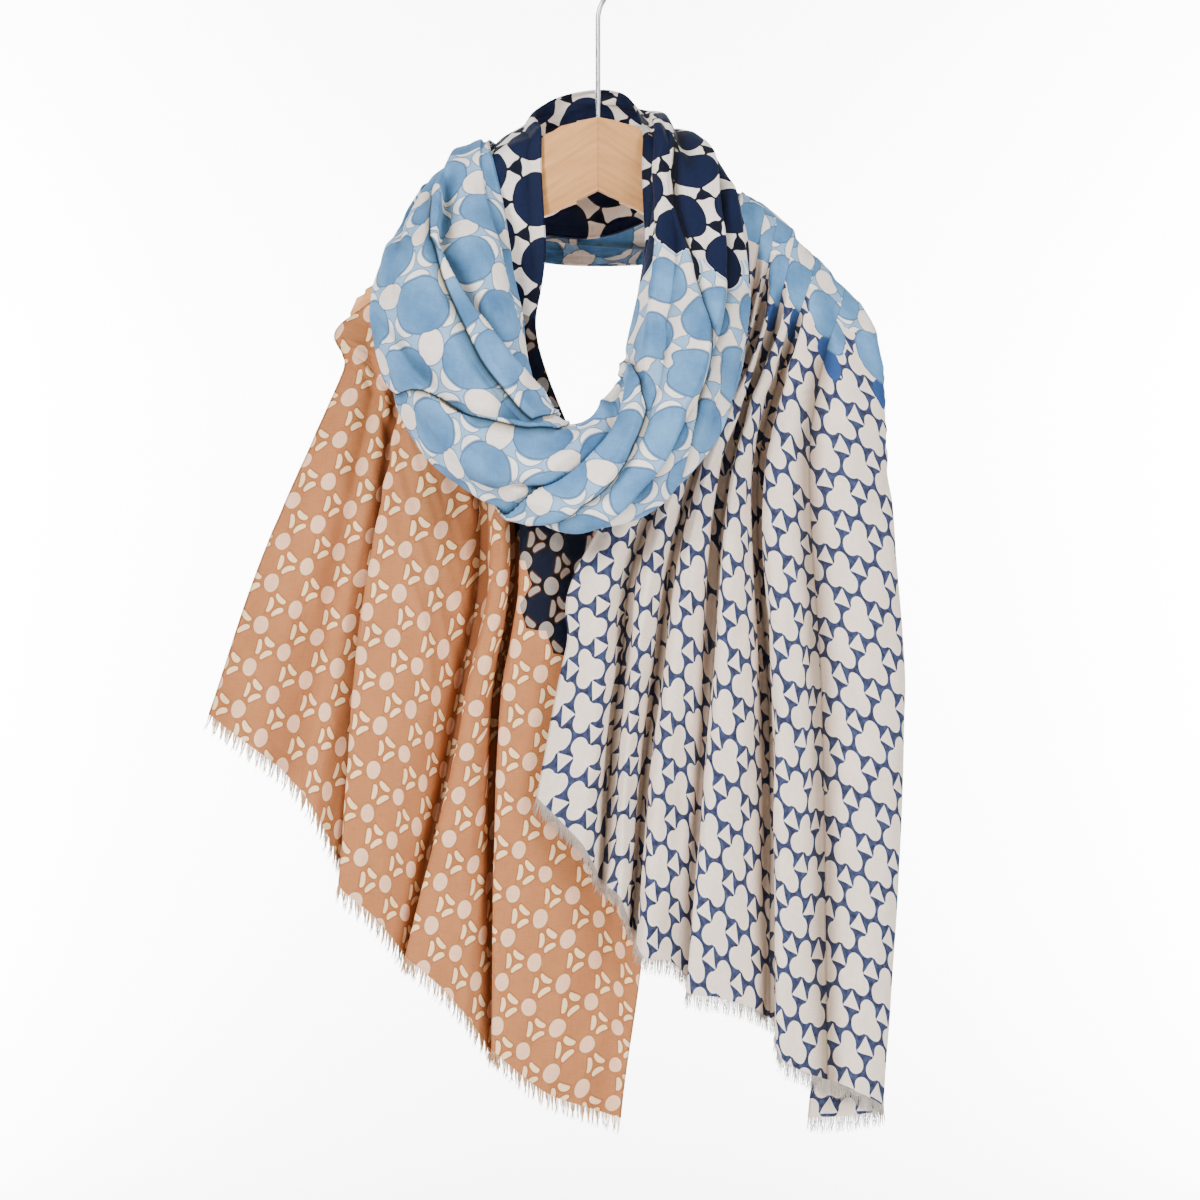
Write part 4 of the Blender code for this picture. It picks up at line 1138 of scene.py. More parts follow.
# %% Disc print
DISC_STEP = 0.0475
DISC_RADIUS = 0.0190
DISC_UNEVEN = 0.0042        # how much the discs differ in radius
OFF_DISC = 0.0009           # how far the bridges and crescents stay off a disc
BRIDGE_WAIST, BRIDGE_HOLLOW = 0.0094, 30.0      # half the width, and how its sides bow in
CRESCENT_AT, CRESCENT_RADII = (0.0157, 0.0), (0.0092, 0.0098)
OVAL_RADII, OVAL_OVER_DISC = (0.0088, 0.0122), 0.0020
DISC_LINE, FIGURE_LINE = (0.0009, 0.7), (0.0007, 0.75)  # width of the drawn line and its depth
NAVY_OVER = 0.012           # how far past the border a disc's middle may lie and still be navy
RIM_OUT, RIM_WIDE = 0.0028, 0.0017                      # pale line round the last navy discs
NAVY_UNTIL = 0.0            # flat length where navy gives way to light blue
BRIDGES_UNTIL = 0.115       # flat length where bridges give way to ovals and crescents
NO_BRIDGES = -9.0           # a length that no cloth has
NAVY_GROUND, NAVY_DISC = dye("0A0D1E"), dye("0E1834")
SKY_GROUND, SKY_DISC, SKY_DEEP = dye("8AAECF"), dye("6A9AC5"), dye("416B96")
SKY_LINE, PALE_LINE = dye("2A4262"), dye("86B8E0")
CREAM, CREAM_WHITE = dye("F1E6DB"), dye("F3F0ED")


def drawn(distance, line):
    """Share of a drawn line on a figure's outline."""
    wide, depth = line
    return outlined(distance, wide) * depth


def only_where(there, distance):
    """A figure's distance where a test holds, and far off elsewhere."""
    return mixed(there, 1.0, distance, "FLOAT")


def disc_figures(where, bridges_until):
    """Length of the nearest grid point, then distances of the figures round it."""
    way, point = grid_point(where, DISC_STEP)
    uneven = cloud(point, 37.0, 0.0) * DISC_UNEVEN - DISC_UNEVEN / 2
    own = point.parts()[1]
    x6, y6, far, along6 = slice_of(way, 6, 0.0)
    x3, y3, _, along3 = slice_of(way, 3, 30.0)
    disc = far - DISC_RADIUS - uneven
    off_disc = OFF_DISC - disc
    gap = x6 - DISC_STEP / 2
    wide = abs(y6)
    side = wide - (gap * gap * BRIDGE_HOLLOW + BRIDGE_WAIST)
    # a thin line of ground runs between two bridges, from the disc to the gap
    ray = x6 * -0.5 + (wide * (ROOT3 / 2) + 0.0010)
    bridge = side.act("SMOOTH_MAX", ray, 0.0014).act("SMOOTH_MAX", off_disc, 0.0010)
    # a figure is there or not as a whole, by where its own middle lies along the cloth
    bridge = only_where(along6 * (DISC_STEP / 2) + own < bridges_until, bridge)
    crescent = oval_gap(x3, y3, CRESCENT_AT, CRESCENT_RADII).most(off_disc)
    crescent = only_where(along3 * (DISC_STEP / ROOT3) + own > bridges_until, crescent)
    oval_way, oval_point = grid_point(where, DISC_STEP, (0.0, DISC_STEP / ROOT3))
    turn = oval_way.node("VectorRotate", oval_way, rotation_type="Z_AXIS")
    feed(turn.socket.node.inputs["Angle"], cloud(oval_point, 31.0, 0.0) * 6.0)
    ox, oy, _ = turn.parts()
    oval = oval_gap(ox, oy, (0.0, 0.0), OVAL_RADII)
    oval = oval.act("SMOOTH_MAX", off_disc - OVAL_OVER_DISC, 0.0012)
    oval = only_where(oval_point.parts()[1] > bridges_until, oval)
    return own, disc, bridge, crescent, oval


def sky_print(where, flat, figures):
    """Light blue part of the disc print."""
    _, disc, bridge, crescent, oval = figures
    # every disc is dyed lighter on one side
    shade = (cloud(where, 34.0, 0.0) * 1.6 - 0.35).held()
    shade = (cloud(flat, 150.0, 3.0) - 0.5) * 0.5 + shade
    colour = mixed(inked(disc), SKY_GROUND, mixed(shade, SKY_DISC, SKY_DEEP))
    colour = mixed(drawn(disc, DISC_LINE), colour, SKY_LINE)
    figure = crescent.least(oval).least(bridge)
    colour = mixed(inked(figure), colour, mixed(inked(crescent), CREAM, CREAM_WHITE))
    return mixed(drawn(figure, FIGURE_LINE), colour, SKY_LINE)


def disc_print(name):
    made, shader, flat, where = voile(name)
    figures = disc_figures(where, BRIDGES_UNTIL)
    own, disc, bridge, _, _ = figures
    length = where.parts()[1]
    sky = sky_print(where, flat, figures)
    navy = mixed(inked(bridge), mixed(inked(disc), NAVY_GROUND, NAVY_DISC), CREAM)
    # the last navy discs reach over the border with a pale line round them
    navy_disc = own < NAVY_UNTIL + NAVY_OVER
    on_navy = (navy_disc * inked(disc - 0.002)).most(inked(length - NAVY_UNTIL))
    rim = outlined(disc - RIM_OUT, RIM_WIDE) * (navy_disc * (length > NAVY_UNTIL - 0.002))
    colour = mixed(rim, mixed(on_navy, sky, navy), PALE_LINE)
    finish_cloth(shader, flat, colour, (1.0, 1.02, 1.12), LOOP_SHADE)
    return made


# %% [markdown]
# ## Print of the left tail: dots and beans
#
# The tan end has the same kind of grid at two thirds of the size. Faint discs touch small
# pinkish dots, and in every second gap three cream beans stand in a Y. Up under the loop the
# tan ground ends in a stepped line and the same figures go on over navy, darkened there by
# painted shade, as that part lies in the loop's shadow.

# %% Dots and beans
BEAN_STEP = 0.0300
BEAN_GAP = BEAN_STEP / ROOT3
SMALL_DISC = 0.0110         # radius
DOT_RADIUS, DOT_UNEVEN = 0.0056, 0.0014
BEAN_OUT, BEAN_HALF, BEAN_THICK = 0.0047, 0.0040, 0.0021    # way out, half length, half width
BEAN_BOW, BEAN_TAPER = -38.0, -30.0
TAN_OUTLINE = (0.0005, 0.16)
BORDER_AT, BORDER_RISE = 0.290, 0.9     # flat length of the border, and its rise across
TAN_GROUND, TAN_DISC, TAN_LINE = dye("A96638"), dye("AF7045"), dye("7A4526")
DOT_PINK, DOT_RIM, BEAN_CREAM = dye("F2BD98"), dye("F4CFA2"), dye("F8D29E")
# navy under the loop, and the figures on it, darkened further by painted shade
SHADED_NAVY_GROUND, SHADED_NAVY_DISC, SHADED_NAVY_FIGURE = dye("05060C"), dye("0A0F20"), dye("8F857C")


def bean_print(name):
    made, shader, flat, where = voile(name)
    x, y, _ = where.parts()
    sideways = joined(y, x * -1.0)
    way, point = grid_point(sideways, BEAN_STEP)
    disc = way.length() - SMALL_DISC
    dot_way, dot_point = grid_point(sideways, BEAN_STEP, (0.0, -BEAN_GAP))
    dot = dot_way.length() - (cloud(dot_point, 53.0, 0.0) * DOT_UNEVEN + DOT_RADIUS)
    bean_way, _ = grid_point(sideways, BEAN_STEP, (0.0, BEAN_GAP))
    bx, by, _, _ = slice_of(bean_way, 3, -90.0)
    # a bean is a short bar with thin round ends, hollow towards the disc that it lies along
    bow = by * by
    bent = bow * BEAN_BOW + (bx - BEAN_OUT)
    past = (abs(by) - BEAN_HALF).most(0.0)
    bean = joined(bent, past).length() - (bow * BEAN_TAPER + BEAN_THICK)
    # navy where the grid point lies beyond the border, so that the border is stepped
    px, py, _ = point.parts()
    dark = px > py * -1.0 * BORDER_RISE + BORDER_AT
    warm = mixed(inked(disc), mixed(cloud(flat, 22.0), TAN_GROUND, TAN_DISC), TAN_DISC)
    warm = mixed(drawn(disc, TAN_OUTLINE), warm, TAN_LINE)
    colour = mixed(dark, warm, mixed(inked(disc), SHADED_NAVY_GROUND, SHADED_NAVY_DISC))
    for share, ink in (
            (inked(dot), DOT_RIM),
            (inked(dot + SOFT_EDGE, SOFT_EDGE), DOT_PINK),
            (outlined(dot, 0.0006, 0.0006) * 0.5, TAN_LINE),
            (outlined(bean - 0.0006, 0.0008) * 0.5, TAN_LINE),
            (inked(bean), BEAN_CREAM),
            # on navy the figures are greyer and darker, painted shade under the loop
            (inked(dot.least(bean)) * dark, SHADED_NAVY_FIGURE)):
        colour = mixed(share, colour, ink)
    finish_cloth(shader, flat, colour, (0.9, 1.08, 1.2), TAIL_SHADE)
    return made


# %% [markdown]
# ## Print of the right tail: three-lobed figures
#
# The other end is denim blue, nearly filled with cream figures of three round lobes, each with
# a small rounded triangle under it. A circle on one slice of three gives the lobes. At the top
# of the tail the big light blue discs come in, and where they end small deep blue ovals sit
# between them.

# %% Three-lobed print
CLOVER_STEP = 0.0302
LOBE_OUT, LOBE_RADIUS, LOBE_MIDDLE = 0.0080, 0.0068, 0.0088     # middle joins the three lobes
FOOT_DOWN, FOOT_LOW, FOOT_SIDE = -0.0172, 0.0045, 0.0038
DEEP_RADII = (0.0086, 0.0102)
DEEP_FROM, DEEP_TO = -0.004, 0.034      # lengths of the deep ovals, against SKY_FROM
SKY_WHOLE, FLIPPED_SKY = 0.016, 0.030   # from where all of the ground is light blue
SKY_FROM = -0.045             # flat length where the light blue discs begin
FLIPPED = -1.004              # where lengths start on the panels that are laid the other way
DENIM, DENIM_LIGHT, DEEP_OVAL = dye("27293F"), dye("434E73"), dye("2E4C82")
CLOVER_CREAM, CLOVER_SHADE, CLOVER_RIM = dye("F4E2D2"), dye("ECD6C4"), dye("F4E7D8")


def clover_figure(where):
    """Distance to a figure of three lobes or the rounded triangle under it, if that is nearer."""
    way, _ = grid_point(where, CLOVER_STEP)
    x3, y3, _, _ = slice_of(way, 3, 90.0)
    lobe = oval_gap(x3, y3, (LOBE_OUT, 0.0), (LOBE_RADIUS, LOBE_RADIUS))
    lobe = lobe.act("SMOOTH_MIN", way.length() - LOBE_MIDDLE, 0.0014)
    foot_way, _ = grid_point(where, CLOVER_STEP, (0.0, FOOT_DOWN))
    fx, fy, _ = foot_way.parts()
    slope = fy * 0.534 + abs(fx) * 0.845
    foot = (fy * -1.0 - FOOT_LOW).act("SMOOTH_MAX", slope - FOOT_SIDE, 0.0010)
    return lobe.least(foot)


def clover_print(name):
    made, shader, flat, where = voile(name)
    figure = clover_figure(where)
    ground = mixed((cloud(flat, 260.0, 3.0) * 2.2 - 0.75).held(), DENIM, DENIM_LIGHT)
    cream = mixed(cloud(flat, 34.0), CLOVER_CREAM, CLOVER_SHADE)
    colour = mixed(inked(figure), ground, CLOVER_RIM)
    colour = mixed(inked(figure + SOFT_EDGE, SOFT_EDGE), colour, cream)
    # deep blue ovals in the gaps of the lowest row of discs
    gap_way, gap_point = grid_point(where, DISC_STEP, (0.0, -DISC_STEP / ROOT3))
    gx, gy, _ = gap_way.parts()
    deep = oval_gap(gx, gy, (0.0, 0.0), DEEP_RADII)
    gap_length = gap_point.parts()[1]
    near = (gap_length > SKY_FROM + DEEP_FROM) * (gap_length < SKY_FROM + DEEP_TO)
    colour = mixed(inked(deep) * near, colour, DEEP_OVAL)
    # light blue discs above them
    figures = disc_figures(where, NO_BRIDGES)
    own, disc = figures[:2]
    length = where.parts()[1]
    above = (length > SKY_FROM + SKY_WHOLE).most(length < FLIPPED + FLIPPED_SKY)
    on_sky = above.most((own > SKY_FROM) * inked(disc - 0.0006))
    colour = mixed(on_sky, colour, sky_print(where, flat, figures))
    finish_cloth(shader, flat, colour, (0.95, 1.05, 1.15), TAIL_SHADE)
    return made


# %% [markdown]
# ## Making the five stretches
#
# The stole is one cloth, but the object names each stretch that shows, so each becomes a piece
# of its own that stands for its solid. They are cut from the same surface at the same lines, so
# they meet without a step.

# %% Steps of the mesh and layouts of the print
#  stretch       first  last  steps across and along
STRETCHES = (
    ("tail_left", 0.0, 3.0, 216, 190),
    ("neck_wrap", 3.0, 14.0, 110, 170),
    ("front_loop", 14.0, 33.0, 136, 350),
    ("back_wrap", 33.0, 41.5, 110, 150),
    ("tail_right", 41.5, 47.0, 240, 190),
)
# How each panel of the loop is laid out, from the inner selvedge: level section, zero section,
# pull along the cloth, turn in degrees, shift in metres.
LOOP_LAYOUTS = (
    (29.0, 28.0, 1.00, 0.0, (0.016, 0.955)),
    (27.0, 27.0, 0.84, 20.0, (0.018, 0.980)),
    (26.0, 26.0, 1.00, -15.0, (0.002, 0.969)),
    (24.2, 24.2, 1.00, 0.0, (0.000, 0.991)),
    (21.5, 20.7, 1.08, 8.0, (0.015, -0.014)),
    (21.5, 20.4, 1.00, 0.0, (0.012, 0.013)),
)
# Tails: level and zero section, then for each panel the fold line that it is rolled out along,
# its shift, how far the cross threads run down to the outside, and 1 where the panel's lengths
# run down and its figures stand upright, -1 where both are turned.
TAIL_LAYOUTS = {
    "left": (1.2, 0.0, (
        (2.6, (0.000, -0.004), 0.00, -1.0),
        (5.5, (-0.400, -0.011), 0.00, -1.0),
        (8.6, (-0.800, -0.002), 0.00, -1.0),
        (12.4, (-1.200, -0.017), 0.00, -1.0),
    )),
    "right": (45.0, 42.0, (
        (1.0, (0.000, 1.004), 0.00, -1.0),
        (3.0, (0.110, 1.011), 0.10, -1.0),
        (5.3, (0.200, 0.002), 0.30, 1.0),
        (8.4, (0.307, 0.007), 0.40, 1.0),
        (11.6, (0.409, 0.002), 0.42, 1.0),
        (14.6, (0.505, 0.002), 0.42, 1.0),
    )),
}
# On both tails the figures look narrow, as if the cloth was pulled lengthwise.
NARROW = 1.28


def loop_layouts(stations, places):
    """Flat map of every loop panel, read at these sections and places."""
    longer = np.unique(np.concatenate([np.linspace(3.0, 41.5, 386), stations]))
    run = longer[np.concatenate([[True], np.diff(longer) > 1e-6])]
    own = np.searchsorted(run, stations - 2e-6)
    form, creased, _ = cloth_surface(run, places)
    found = []
    for panel, (level, zero, pull, turn, shift) in enumerate(LOOP_LAYOUTS):
        middles = [loop_middle(panel, s) for s in run]
        laid = roll_out(form, creased, places, run, middles, level, zero) * np.array([1.0, pull])
        found.append((laid @ turned(turn) + np.array(shift))[own])
    return found


def tail_layouts(tail, form, creased, stations, places):
    """The same for a tail; lengths of the right one are counted from the crest down, below 0."""
    level, zero, panels = TAIL_LAYOUTS[tail]
    found = []
    for line, shift, tilt, upright in panels:
        middles = [line_place(tail, line)] * len(stations)
        laid = roll_out(form, creased, places, stations, middles, level, zero)
        across = -laid[..., 0]
        up = -laid[..., 1] - across * tilt
        found.append(np.stack([across * NARROW, up], axis=-1) * upright - np.array(shift))
    return found


PRINTS = {
    "tail_left": bean_print("tan print with dots and beans"),
    "neck_wrap": disc_print("navy and light blue print with discs"),
    "tail_right": clover_print("denim print with three-lobed figures"),
}
PRINTS["front_loop"] = PRINTS["back_wrap"] = PRINTS["neck_wrap"]
print("prints:", ", ".join(sorted({made.name for made in PRINTS.values()})))

# %% Make the stretches
cloth = {}
surfaces = {}
for name, first, last, across, along in STRETCHES:
    places = np.linspace(0.0, 1.0, across + 1)
    stations = even_stations(first, last, along)
    form, surface, normals = cloth_surface(stations, places)
    if name.startswith("tail"):
        tail = name.split("_")[1]
        lines = tail_lines(tail, stations)
        layouts = tail_layouts(tail, form, surface, stations, places)
    else:
        lines = loop_lines(stations)
        layouts = loop_layouts(stations, places)
    cloth[name] = cloth_shell("voile_" + name, surface, normals, lines, places, layouts,
                              PRINTS[name])
    surfaces[name] = (surface, normals)
    print(name, len(cloth[name].data.polygons) * 2, "triangles")

# %% [markdown]
# ## Fringe
#
# Both short ends are frayed: the cross threads are pulled out for some 11 mm, so that the long
# threads hang free as a soft eyelash fringe. A hair system could grow it, but hair is no mesh.
# Here each thread is a thin three-sided tube with a slight bend, and neighbours lean together
# in small tufts, as frayed threads do.

# %% One thread
THREAD_STEP = 0.48          # distance from thread to thread along the hem, mm
THREAD_LENGTH = 11.0
THREAD_RADIUS = 0.25
THREAD_RINGS = ((-0.10, 1.0), (0.35, 0.95), (0.72, 0.75), (1.0, 0.30))  # place along, thickness
TUFT = 5                    # threads that lean together
TUFT_SPREAD, TUFT_LEAN, TUFT_SWING = -0.055, 0.20, 0.16
UNEVEN = 0.10               # how much single threads differ from their tuft


def thread_points(root, way, outward, lean, swing, length):
    """Corners of a thread's four rings, from inside the hem to its tip."""
    way = unit(0.8 * way + np.array([0.0, 0.0, -0.35]))
    side = unit(np.cross(way, outward))
    out = unit(np.cross(side, way))
    found = []
    for part, thick in THREAD_RINGS:
        bend = max(part, 0.0) ** 1.6
        spot = root + way * length * part + (side * lean + out * swing) * length * bend
        radius = THREAD_RADIUS * thick
        for corner in range(3):
            angle = 2 * math.pi * corner / 3
            found.append(spot + side * radius * math.cos(angle) + out * radius * math.sin(angle))
    return found


def thread_faces(base):
    """Faces of a thread whose first corner has the number base."""
    found = []
    for ring in range(base, base + 9, 3):
        for corner in range(3):
            a, b = ring + corner, ring + (corner + 1) % 3
            found.append((a, a + 3, b + 3, b))
    return found + [(base, base + 1, base + 2), (base + 11, base + 10, base + 9)]


# %% Fringe threads
def along_hem(at, run, rows):
    """Rows of the hem, read at distances along it."""
    return np.stack([np.interp(at, run, rows[:, c]) for c in range(3)], axis=1)


def fringe_threads(name, hem, normals, inward, material, seed):
    """Threads along a row of points at the hem; inward is the row next to it."""
    steps = np.linalg.norm(np.diff(hem, axis=0), axis=1)
    run = np.concatenate([[0.0], np.cumsum(steps)])
    count = int(run[-1] / THREAD_STEP)
    rng = np.random.default_rng(seed)
    at = (np.arange(count) + 0.5 + rng.uniform(-0.25, 0.25, count)) * run[-1] / count
    down = hem - inward
    down /= np.linalg.norm(down, axis=1, keepdims=True)
    roots, ways, outs = (along_hem(at, run, rows) for rows in (hem, down, normals))
    verts = []
    faces = []
    for k in range(count):
        tuft = k // TUFT
        lean = (k % TUFT - (TUFT - 1) / 2) * TUFT_SPREAD + TUFT_LEAN * math.sin(2.39 * tuft)
        lean += rng.uniform(-UNEVEN, UNEVEN)
        swing = TUFT_SWING * math.sin(1.7 * tuft + 1.0) + rng.uniform(-UNEVEN, UNEVEN)
        length = THREAD_LENGTH * rng.uniform(0.80, 1.08)
        faces += thread_faces(len(verts))
        verts += thread_points(roots[k], ways[k], outs[k], lean, swing, length)
    mesh = bpy.data.meshes.new(name)
    mesh.from_pydata([tuple(p) for p in to_frame(np.array(verts))], [], faces)
    shaped = bmesh.new()
    shaped.from_mesh(mesh)
    bmesh.ops.recalc_face_normals(shaped, faces=shaped.faces)
    shaped.to_mesh(mesh)
    shaped.free()
    mesh.shade_smooth()
    mesh.materials.append(material)
    print(name, count, "threads,", round(run[-1]), "mm of hem")
    return placed(name, mesh)


def fringe_finish(name, code, shade):
    made, shader = new_finish(name, Roughness=0.9, Specular_IOR_Level=0.1)
    spun = cloud(object_place(shader), 900.0, 1.0)
    coloured(shader, mixed(spun, dye(code), dye(shade)))
    return made


# %% Make both fringes
hem, normals = surfaces["tail_left"]
fringe_left = fringe_threads("frayed_threads_left", hem[0], normals[0], hem[1],
                             fringe_finish("frayed ecru threads", "DDB88C", "BE9260"), 31)
hem, normals = surfaces["tail_right"]
fringe_right = fringe_threads("frayed_threads_right", hem[-1], normals[-1], hem[-2],
                              fringe_finish("frayed pale threads", "D6CCC2", "A1978E"), 32)

# %% [markdown]
# ## Wooden hanger
#
# The hanger is a plain shaped board of pale beech, 15 mm thick, with a small notch under its
# middle and arms that slope down to rounded tips. It could be a curve with a bevel, but its
# depth changes all the way. So one half is drawn out of a block, face by face, the way a board
# is sawn to a line, then mirrored, and its edges are rounded.

# %% Profile of the board
WOOD_THICK = 0.015
WOOD_EDGE = 0.0022
BLOCK_HIGH = 0.050
TIP_LENGTH = 12.0           # how far from its end an arm gets thinner, mm
TIP_THINNER = 0.35
#        out     top    bottom, mm from the top middle
WOOD_PROFILE = (
    (0.0, 0.0, -50.0),
    (15.0, -3.2, -58.0),
    (28.0, -7.2, -64.6),
    (39.0, -14.4, -69.8),
    (60.0, -31.0, -79.5),
    (80.0, -48.0, -91.0),
    (100.0, -66.5, -104.5),
    (130.0, -93.0, -125.0),
    (152.0, -112.5, -140.5),
    (160.0, -119.5, -145.0),
    (167.0, -127.0, -147.0),
    (170.5, -134.5, -145.0),
)
outs, tops, lows = np.array(WOOD_PROFILE).T
cuts = np.unique(np.concatenate([outs, np.linspace(3.0, 166.0, 30)]))
tops = np.interp(cuts, outs, tops)
lows = np.interp(cuts, outs, lows)
# a short moving mean takes the corners out of the line, apart from the middle and the tip
for line in (tops, lows):
    for _ in range(3):
        line[2:-2] = 0.25 * line[1:-3] + 0.5 * line[2:-2] + 0.25 * line[3:-1]
print("cuts along an arm:", len(cuts))


# %% Short words for modelling
def select_none():
    """Leave nothing selected, so that the next operator acts on the new piece alone."""
    for thing in bpy.context.selected_objects:
        thing.select_set(False)


def pick_faces(piece, test):
    """In edit mode, select the faces whose centre and normal pass a test."""
    shaped = bmesh.from_edit_mesh(piece.data)
    for face in shaped.faces:
        face.select_set(bool(test(face.calc_center_median(), face.normal)))
    bmesh.update_edit_mesh(piece.data)


def start_piece(name, select):
    """Name the piece just added, apply its size, and edit it with one kind of selection."""
    piece = bpy.context.active_object
    piece.name = name
    bpy.ops.object.transform_apply(location=True, rotation=True, scale=True)
    bpy.ops.object.mode_set(mode="EDIT")
    bpy.ops.mesh.select_mode(type=select)
    return piece


def draw_out(x, z):
    """Extrude what is selected, and move it."""
    bpy.ops.mesh.extrude_region_move(TRANSFORM_OT_translate={"value": (x, 0.0, z)})


def turn_outwards():
    """In edit mode, turn all faces of the piece outwards, and leave edit mode."""
    bpy.ops.mesh.select_all(action="SELECT")
    bpy.ops.mesh.normals_make_consistent(inside=False)
    bpy.ops.object.mode_set(mode="OBJECT")


def apply_modifier(piece, name, kind, **settings):
    added = piece.modifiers.new(name, kind)
    for setting, value in settings.items():
        setattr(added, setting, value)
    bpy.ops.object.modifier_apply(modifier=added.name)


def tip_share(out):
    """Thickness of an arm at a distance from the middle, against the rest of the board."""
    near = max(0.0, (out - outs[-1] + TIP_LENGTH) / TIP_LENGTH)
    return 1.0 - TIP_THINNER * near ** 2


# %% Draw one arm out of a block
select_none()
first_out = cuts[1] * MM
high_now = BLOCK_HIGH
centre_now = -HOOK_DROP * MM - high_now / 2
bpy.ops.mesh.primitive_cube_add(size=1.0, location=(first_out / 2, 0.0, centre_now),
                                scale=(first_out, WOOD_THICK, high_now))
board = start_piece("wooden_board", "FACE")
pick_faces(board, lambda centre, normal: normal.x > 0.9)
for k in range(1, len(cuts)):
    if k > 1:
        draw_out((cuts[k] - cuts[k - 1]) * MM, 0.0)
    high = (tops[k] - lows[k]) * MM
    centre = (tops[k] + lows[k]) / 2 * MM - HOOK_DROP * MM
    bpy.ops.transform.translate(value=(0.0, 0.0, centre - centre_now))
    thin = tip_share(cuts[k]) / tip_share(cuts[k - 1])
    for share in ((1.0, 1.0, high / high_now), (1.0, thin, 1.0)):
        bpy.ops.transform.resize(value=share, center_override=(cuts[k] * MM, 0.0, centre))
    high_now = high
    centre_now = centre
pick_faces(board, lambda centre, normal: abs(centre.x) < 1e-5 and normal.x < -0.9)
bpy.ops.mesh.delete(type="FACE")
bpy.ops.object.mode_set(mode="OBJECT")
print("arm:", len(board.data.polygons), "faces")

# %% Mirror it and round its edges
apply_modifier(board, "other arm", "MIRROR", merge_threshold=0.00005)
bpy.ops.object.mode_set(mode="EDIT")
turn_outwards()
apply_modifier(board, "rounded edges", "BEVEL", width=WOOD_EDGE, segments=4,
               limit_method="ANGLE", angle_limit=math.radians(50))
bpy.ops.object.shade_smooth_by_angle(angle=math.radians(30))
print("board:", len(board.data.polygons), "faces")

# %% [markdown]
# ## Beech grain
#
# The two arms of the board come from wood laid on the slant, so the grain runs down and outward
# on both sides and meets in a chevron at the middle, where a fine seam shows and the right half
# is a little darker. Stretched noise makes the grain, with short dark flecks that are typical
# for beech. The side is mirrored by taking the distance from the middle.

# %% Wood finish
BEECH_LIGHT, BEECH_DEEP, BEECH_FLECK = dye("E8AA6C"), dye("C58950"), dye("8E6640")
GRAIN_SLANT = math.radians(32.0)    # below level
BANDS, FLECKS = (14.0, 190.0, 60.0), (110.0, 1500.0, 300.0)     # spots a metre each way
SEAM_WIDE, SEAM_TONE, RIGHT_TONE = 0.0003, -0.35, -0.09

beech, shader = new_finish("pale beech", Roughness=0.42, Specular_IOR_Level=0.3,
                           Coat_Weight=0.04, Coat_Roughness=0.25)
x, y, z = object_place(shader).parts()
out_side = abs(x)
along = out_side * math.cos(GRAIN_SLANT) - z * math.sin(GRAIN_SLANT)
across = out_side * math.sin(GRAIN_SLANT) + z * math.cos(GRAIN_SLANT)
bands, flecks = (cloud(joined(along * size[0], across * size[1], y * size[2]), 1.0, detail)
                 for size, detail in ((BANDS, 4.0), (FLECKS, 2.0)))
wood = mixed((bands * 2.0 - 0.5).held(), BEECH_LIGHT, BEECH_DEEP)
wood = mixed((flecks * 4.0 - 2.3).held() * 0.45, wood, BEECH_FLECK)
seam = inked(out_side - SEAM_WIDE, 0.0004)
tone = ((x > 0.0) * RIGHT_TONE + 1.0) * (seam * SEAM_TONE + 1.0)
coloured(shader, wood * tone, flecks - seam, 0.25)
board.data.materials.append(beech)

# %% [markdown]
# ## Wire hook
#
# The hook is one bright wire: a straight stem, a bend to the side and a round crook that ends
# past its lowest point in a rounded tip. A curve would do, but bending a ring of edges with the
# spin tool is how the wire is really made: each bend has one centre and one angle.

# %% Sizes of the wire
WIRE_RADIUS = 0.00175
WIRE_SIDES = 20
CROOK_RADIUS = 0.01875
CROOK_END = math.radians(196.0)
BEND_RADIUS = 0.024
STEM_STEPS, BEND_STEPS, CROOK_STEPS = 4, 14, 46
WIRE_TIP = ((0.0007, 0.93), (0.0006, 0.72), (0.0003, 0.45))    # step ahead, share of the size

crook_z = WIRE_RADIUS - CROOK_RADIUS
# The bend touches both the stem and the crook, which fixes its height and angle.
rise = math.sqrt((CROOK_RADIUS + BEND_RADIUS) ** 2 - BEND_RADIUS ** 2)
bend_z = crook_z - rise
bend_angle = math.atan2(rise, BEND_RADIUS)
foot_z = -HOOK_DROP * MM - 0.0004
print(f"bend of {math.degrees(bend_angle):.1f} degrees, {-bend_z * 1000:.1f} mm down")

# %% Bend the wire
select_none()
bpy.ops.mesh.primitive_circle_add(vertices=WIRE_SIDES, radius=WIRE_RADIUS, fill_type="NOTHING",
                                  location=(0.0, 0.0, foot_z))
wire = start_piece("wire_hook", "EDGE")
bpy.ops.mesh.select_all(action="SELECT")
for step in range(STEM_STEPS):
    draw_out(0.0, (bend_z - foot_z) / STEM_STEPS)
bpy.ops.mesh.spin(steps=BEND_STEPS, angle=-bend_angle, center=(BEND_RADIUS, 0.0, bend_z),
                  axis=(0.0, 1.0, 0.0))
bpy.ops.mesh.spin(steps=CROOK_STEPS, angle=CROOK_END + bend_angle,
                  center=(0.0, 0.0, crook_z), axis=(0.0, 1.0, 0.0))

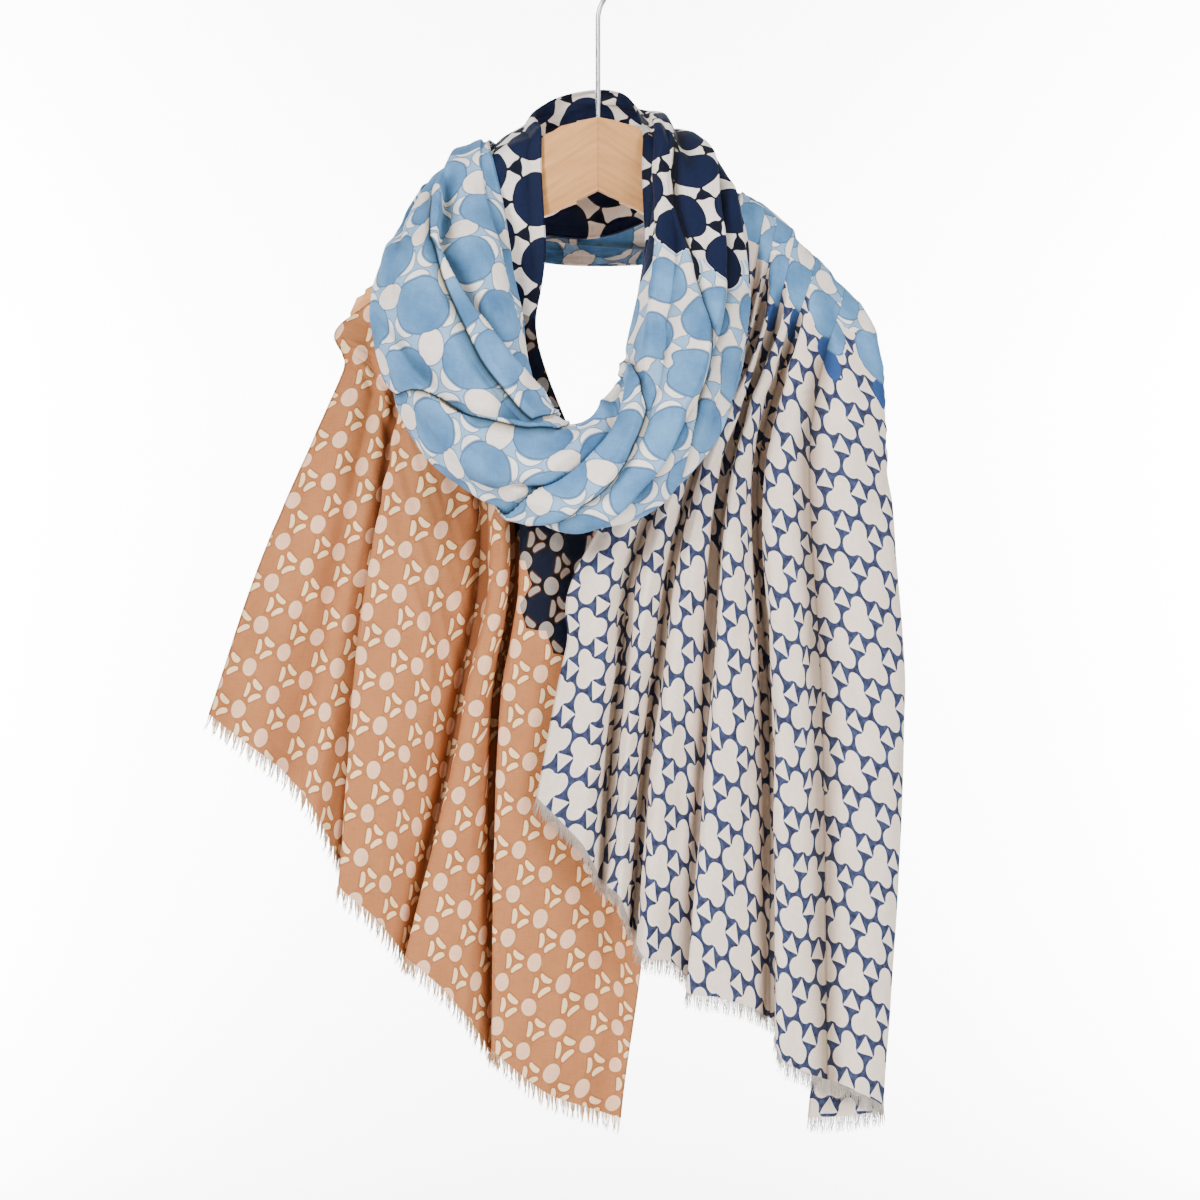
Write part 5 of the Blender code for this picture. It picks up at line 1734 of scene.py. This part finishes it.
# %% Round its tip and close both ends
end_x = CROOK_RADIUS * math.cos(CROOK_END)
end_z = crook_z + CROOK_RADIUS * math.sin(CROOK_END)
way_x, way_z = -math.sin(CROOK_END), math.cos(CROOK_END)
for ahead, shrink in WIRE_TIP:
    end_x += way_x * ahead
    end_z += way_z * ahead
    draw_out(way_x * ahead, way_z * ahead)
    bpy.ops.transform.resize(value=(shrink, shrink, shrink), center_override=(end_x, 0.0, end_z))
bpy.ops.mesh.edge_face_add()
bpy.ops.mesh.select_all(action="SELECT")
bpy.ops.mesh.remove_doubles(threshold=0.00001)
bpy.ops.mesh.select_all(action="DESELECT")
bpy.ops.mesh.select_non_manifold()
bpy.ops.mesh.edge_face_add()
turn_outwards()
bpy.ops.object.shade_smooth_by_angle(angle=math.radians(50))
corners = np.array([v.co for v in wire.data.vertices])
print("wire:", len(wire.data.polygons), "faces, from", corners.min(0).round(4), "to",
      corners.max(0).round(4))

# %% Bright metal finish
METAL_LIGHT, METAL_DEEP = (0.42, 0.42, 0.43, 1.0), (0.32, 0.33, 0.35, 1.0)
DRAWN_STREAKS = (2600.0, 2600.0, 60.0)      # spots a metre each way
SMOOTHEST = 0.08            # lowest roughness

chrome, shader = new_finish("bright chrome", Metallic=1.0)
spot = object_place(shader)
haze = cloud(spot, 260.0, 3.0)
stretched = spot.node("Mapping", spot)
stretched.socket.node.inputs["Scale"].default_value = DRAWN_STREAKS
streaks = cloud(stretched, 1.0, 1.0)
coloured(shader, mixed(haze, METAL_LIGHT, METAL_DEEP))
feed(shader.inputs["Roughness"], (haze + streaks) * 0.09 + SMOOTHEST)
wire.data.materials.append(chrome)

# %% [markdown]
# ## Tying the pieces to the object
#
# Each piece rides on the one body of the object, and the solid that it stands for is hidden.
# The size that every stretch of cloth was cut to, as far as it shows, is listed, and its width
# and length on the form are printed.

# %% Ride and replace
DRESSING = (
    (cloth["tail_left"], "cloth_tail_left", "cloth_orange"),
    (cloth["neck_wrap"], "cloth_neck_wrap", "cloth_navy"),
    (cloth["front_loop"], "cloth_front_loop", "cloth_sky"),
    (cloth["back_wrap"], "cloth_back_wrap", "cloth_sky_back"),
    (cloth["tail_right"], "cloth_tail_right", "cloth_clover"),
    (fringe_left, "fringe_left", "fringe_cream"),
    (fringe_right, "fringe_right", "fringe_pale"),
    (board, "hanger_body", "hanger_wood"),
    (wire, "hanger_hook", "hook_metal"),
)
for piece, node, finish in DRESSING:
    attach(piece, "root")
    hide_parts(node)
print("pieces:", len(DRESSING))

CUT = {
    "tail_left": (0.50, 0.56, 0.160, "hung", [fringe_left]),
    "neck_wrap": (0.12, 0.30, 0.030, "gathered", []),
    "front_loop": (0.19, 0.75, 0.120, "gathered", []),
    "back_wrap": (0.11, 0.36, 0.034, "gathered", []),
    "tail_right": (0.50, 0.56, 0.190, "hung", [fringe_right]),
}
for name, (wide, length, area, held, on_it) in CUT.items():
    surface = surfaces[name][0]
    across = arcs_of(surface)[:, -1]
    along = arcs_of(surface.swapaxes(0, 1))[:, -1]
    print(f"{name}: {across.min():.0f} to {across.max():.0f} mm across,",
          f"{along.min():.0f} to {along.max():.0f} mm along")

# %% [markdown]
# ## Size
#
# The box that the dressed object fills is found, leaving out the paper and the hidden solids.
# The dressed object has to stay inside the box of the solids, apart from the little that cloth
# may stand proud.

# %% Sizes
low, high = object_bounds()
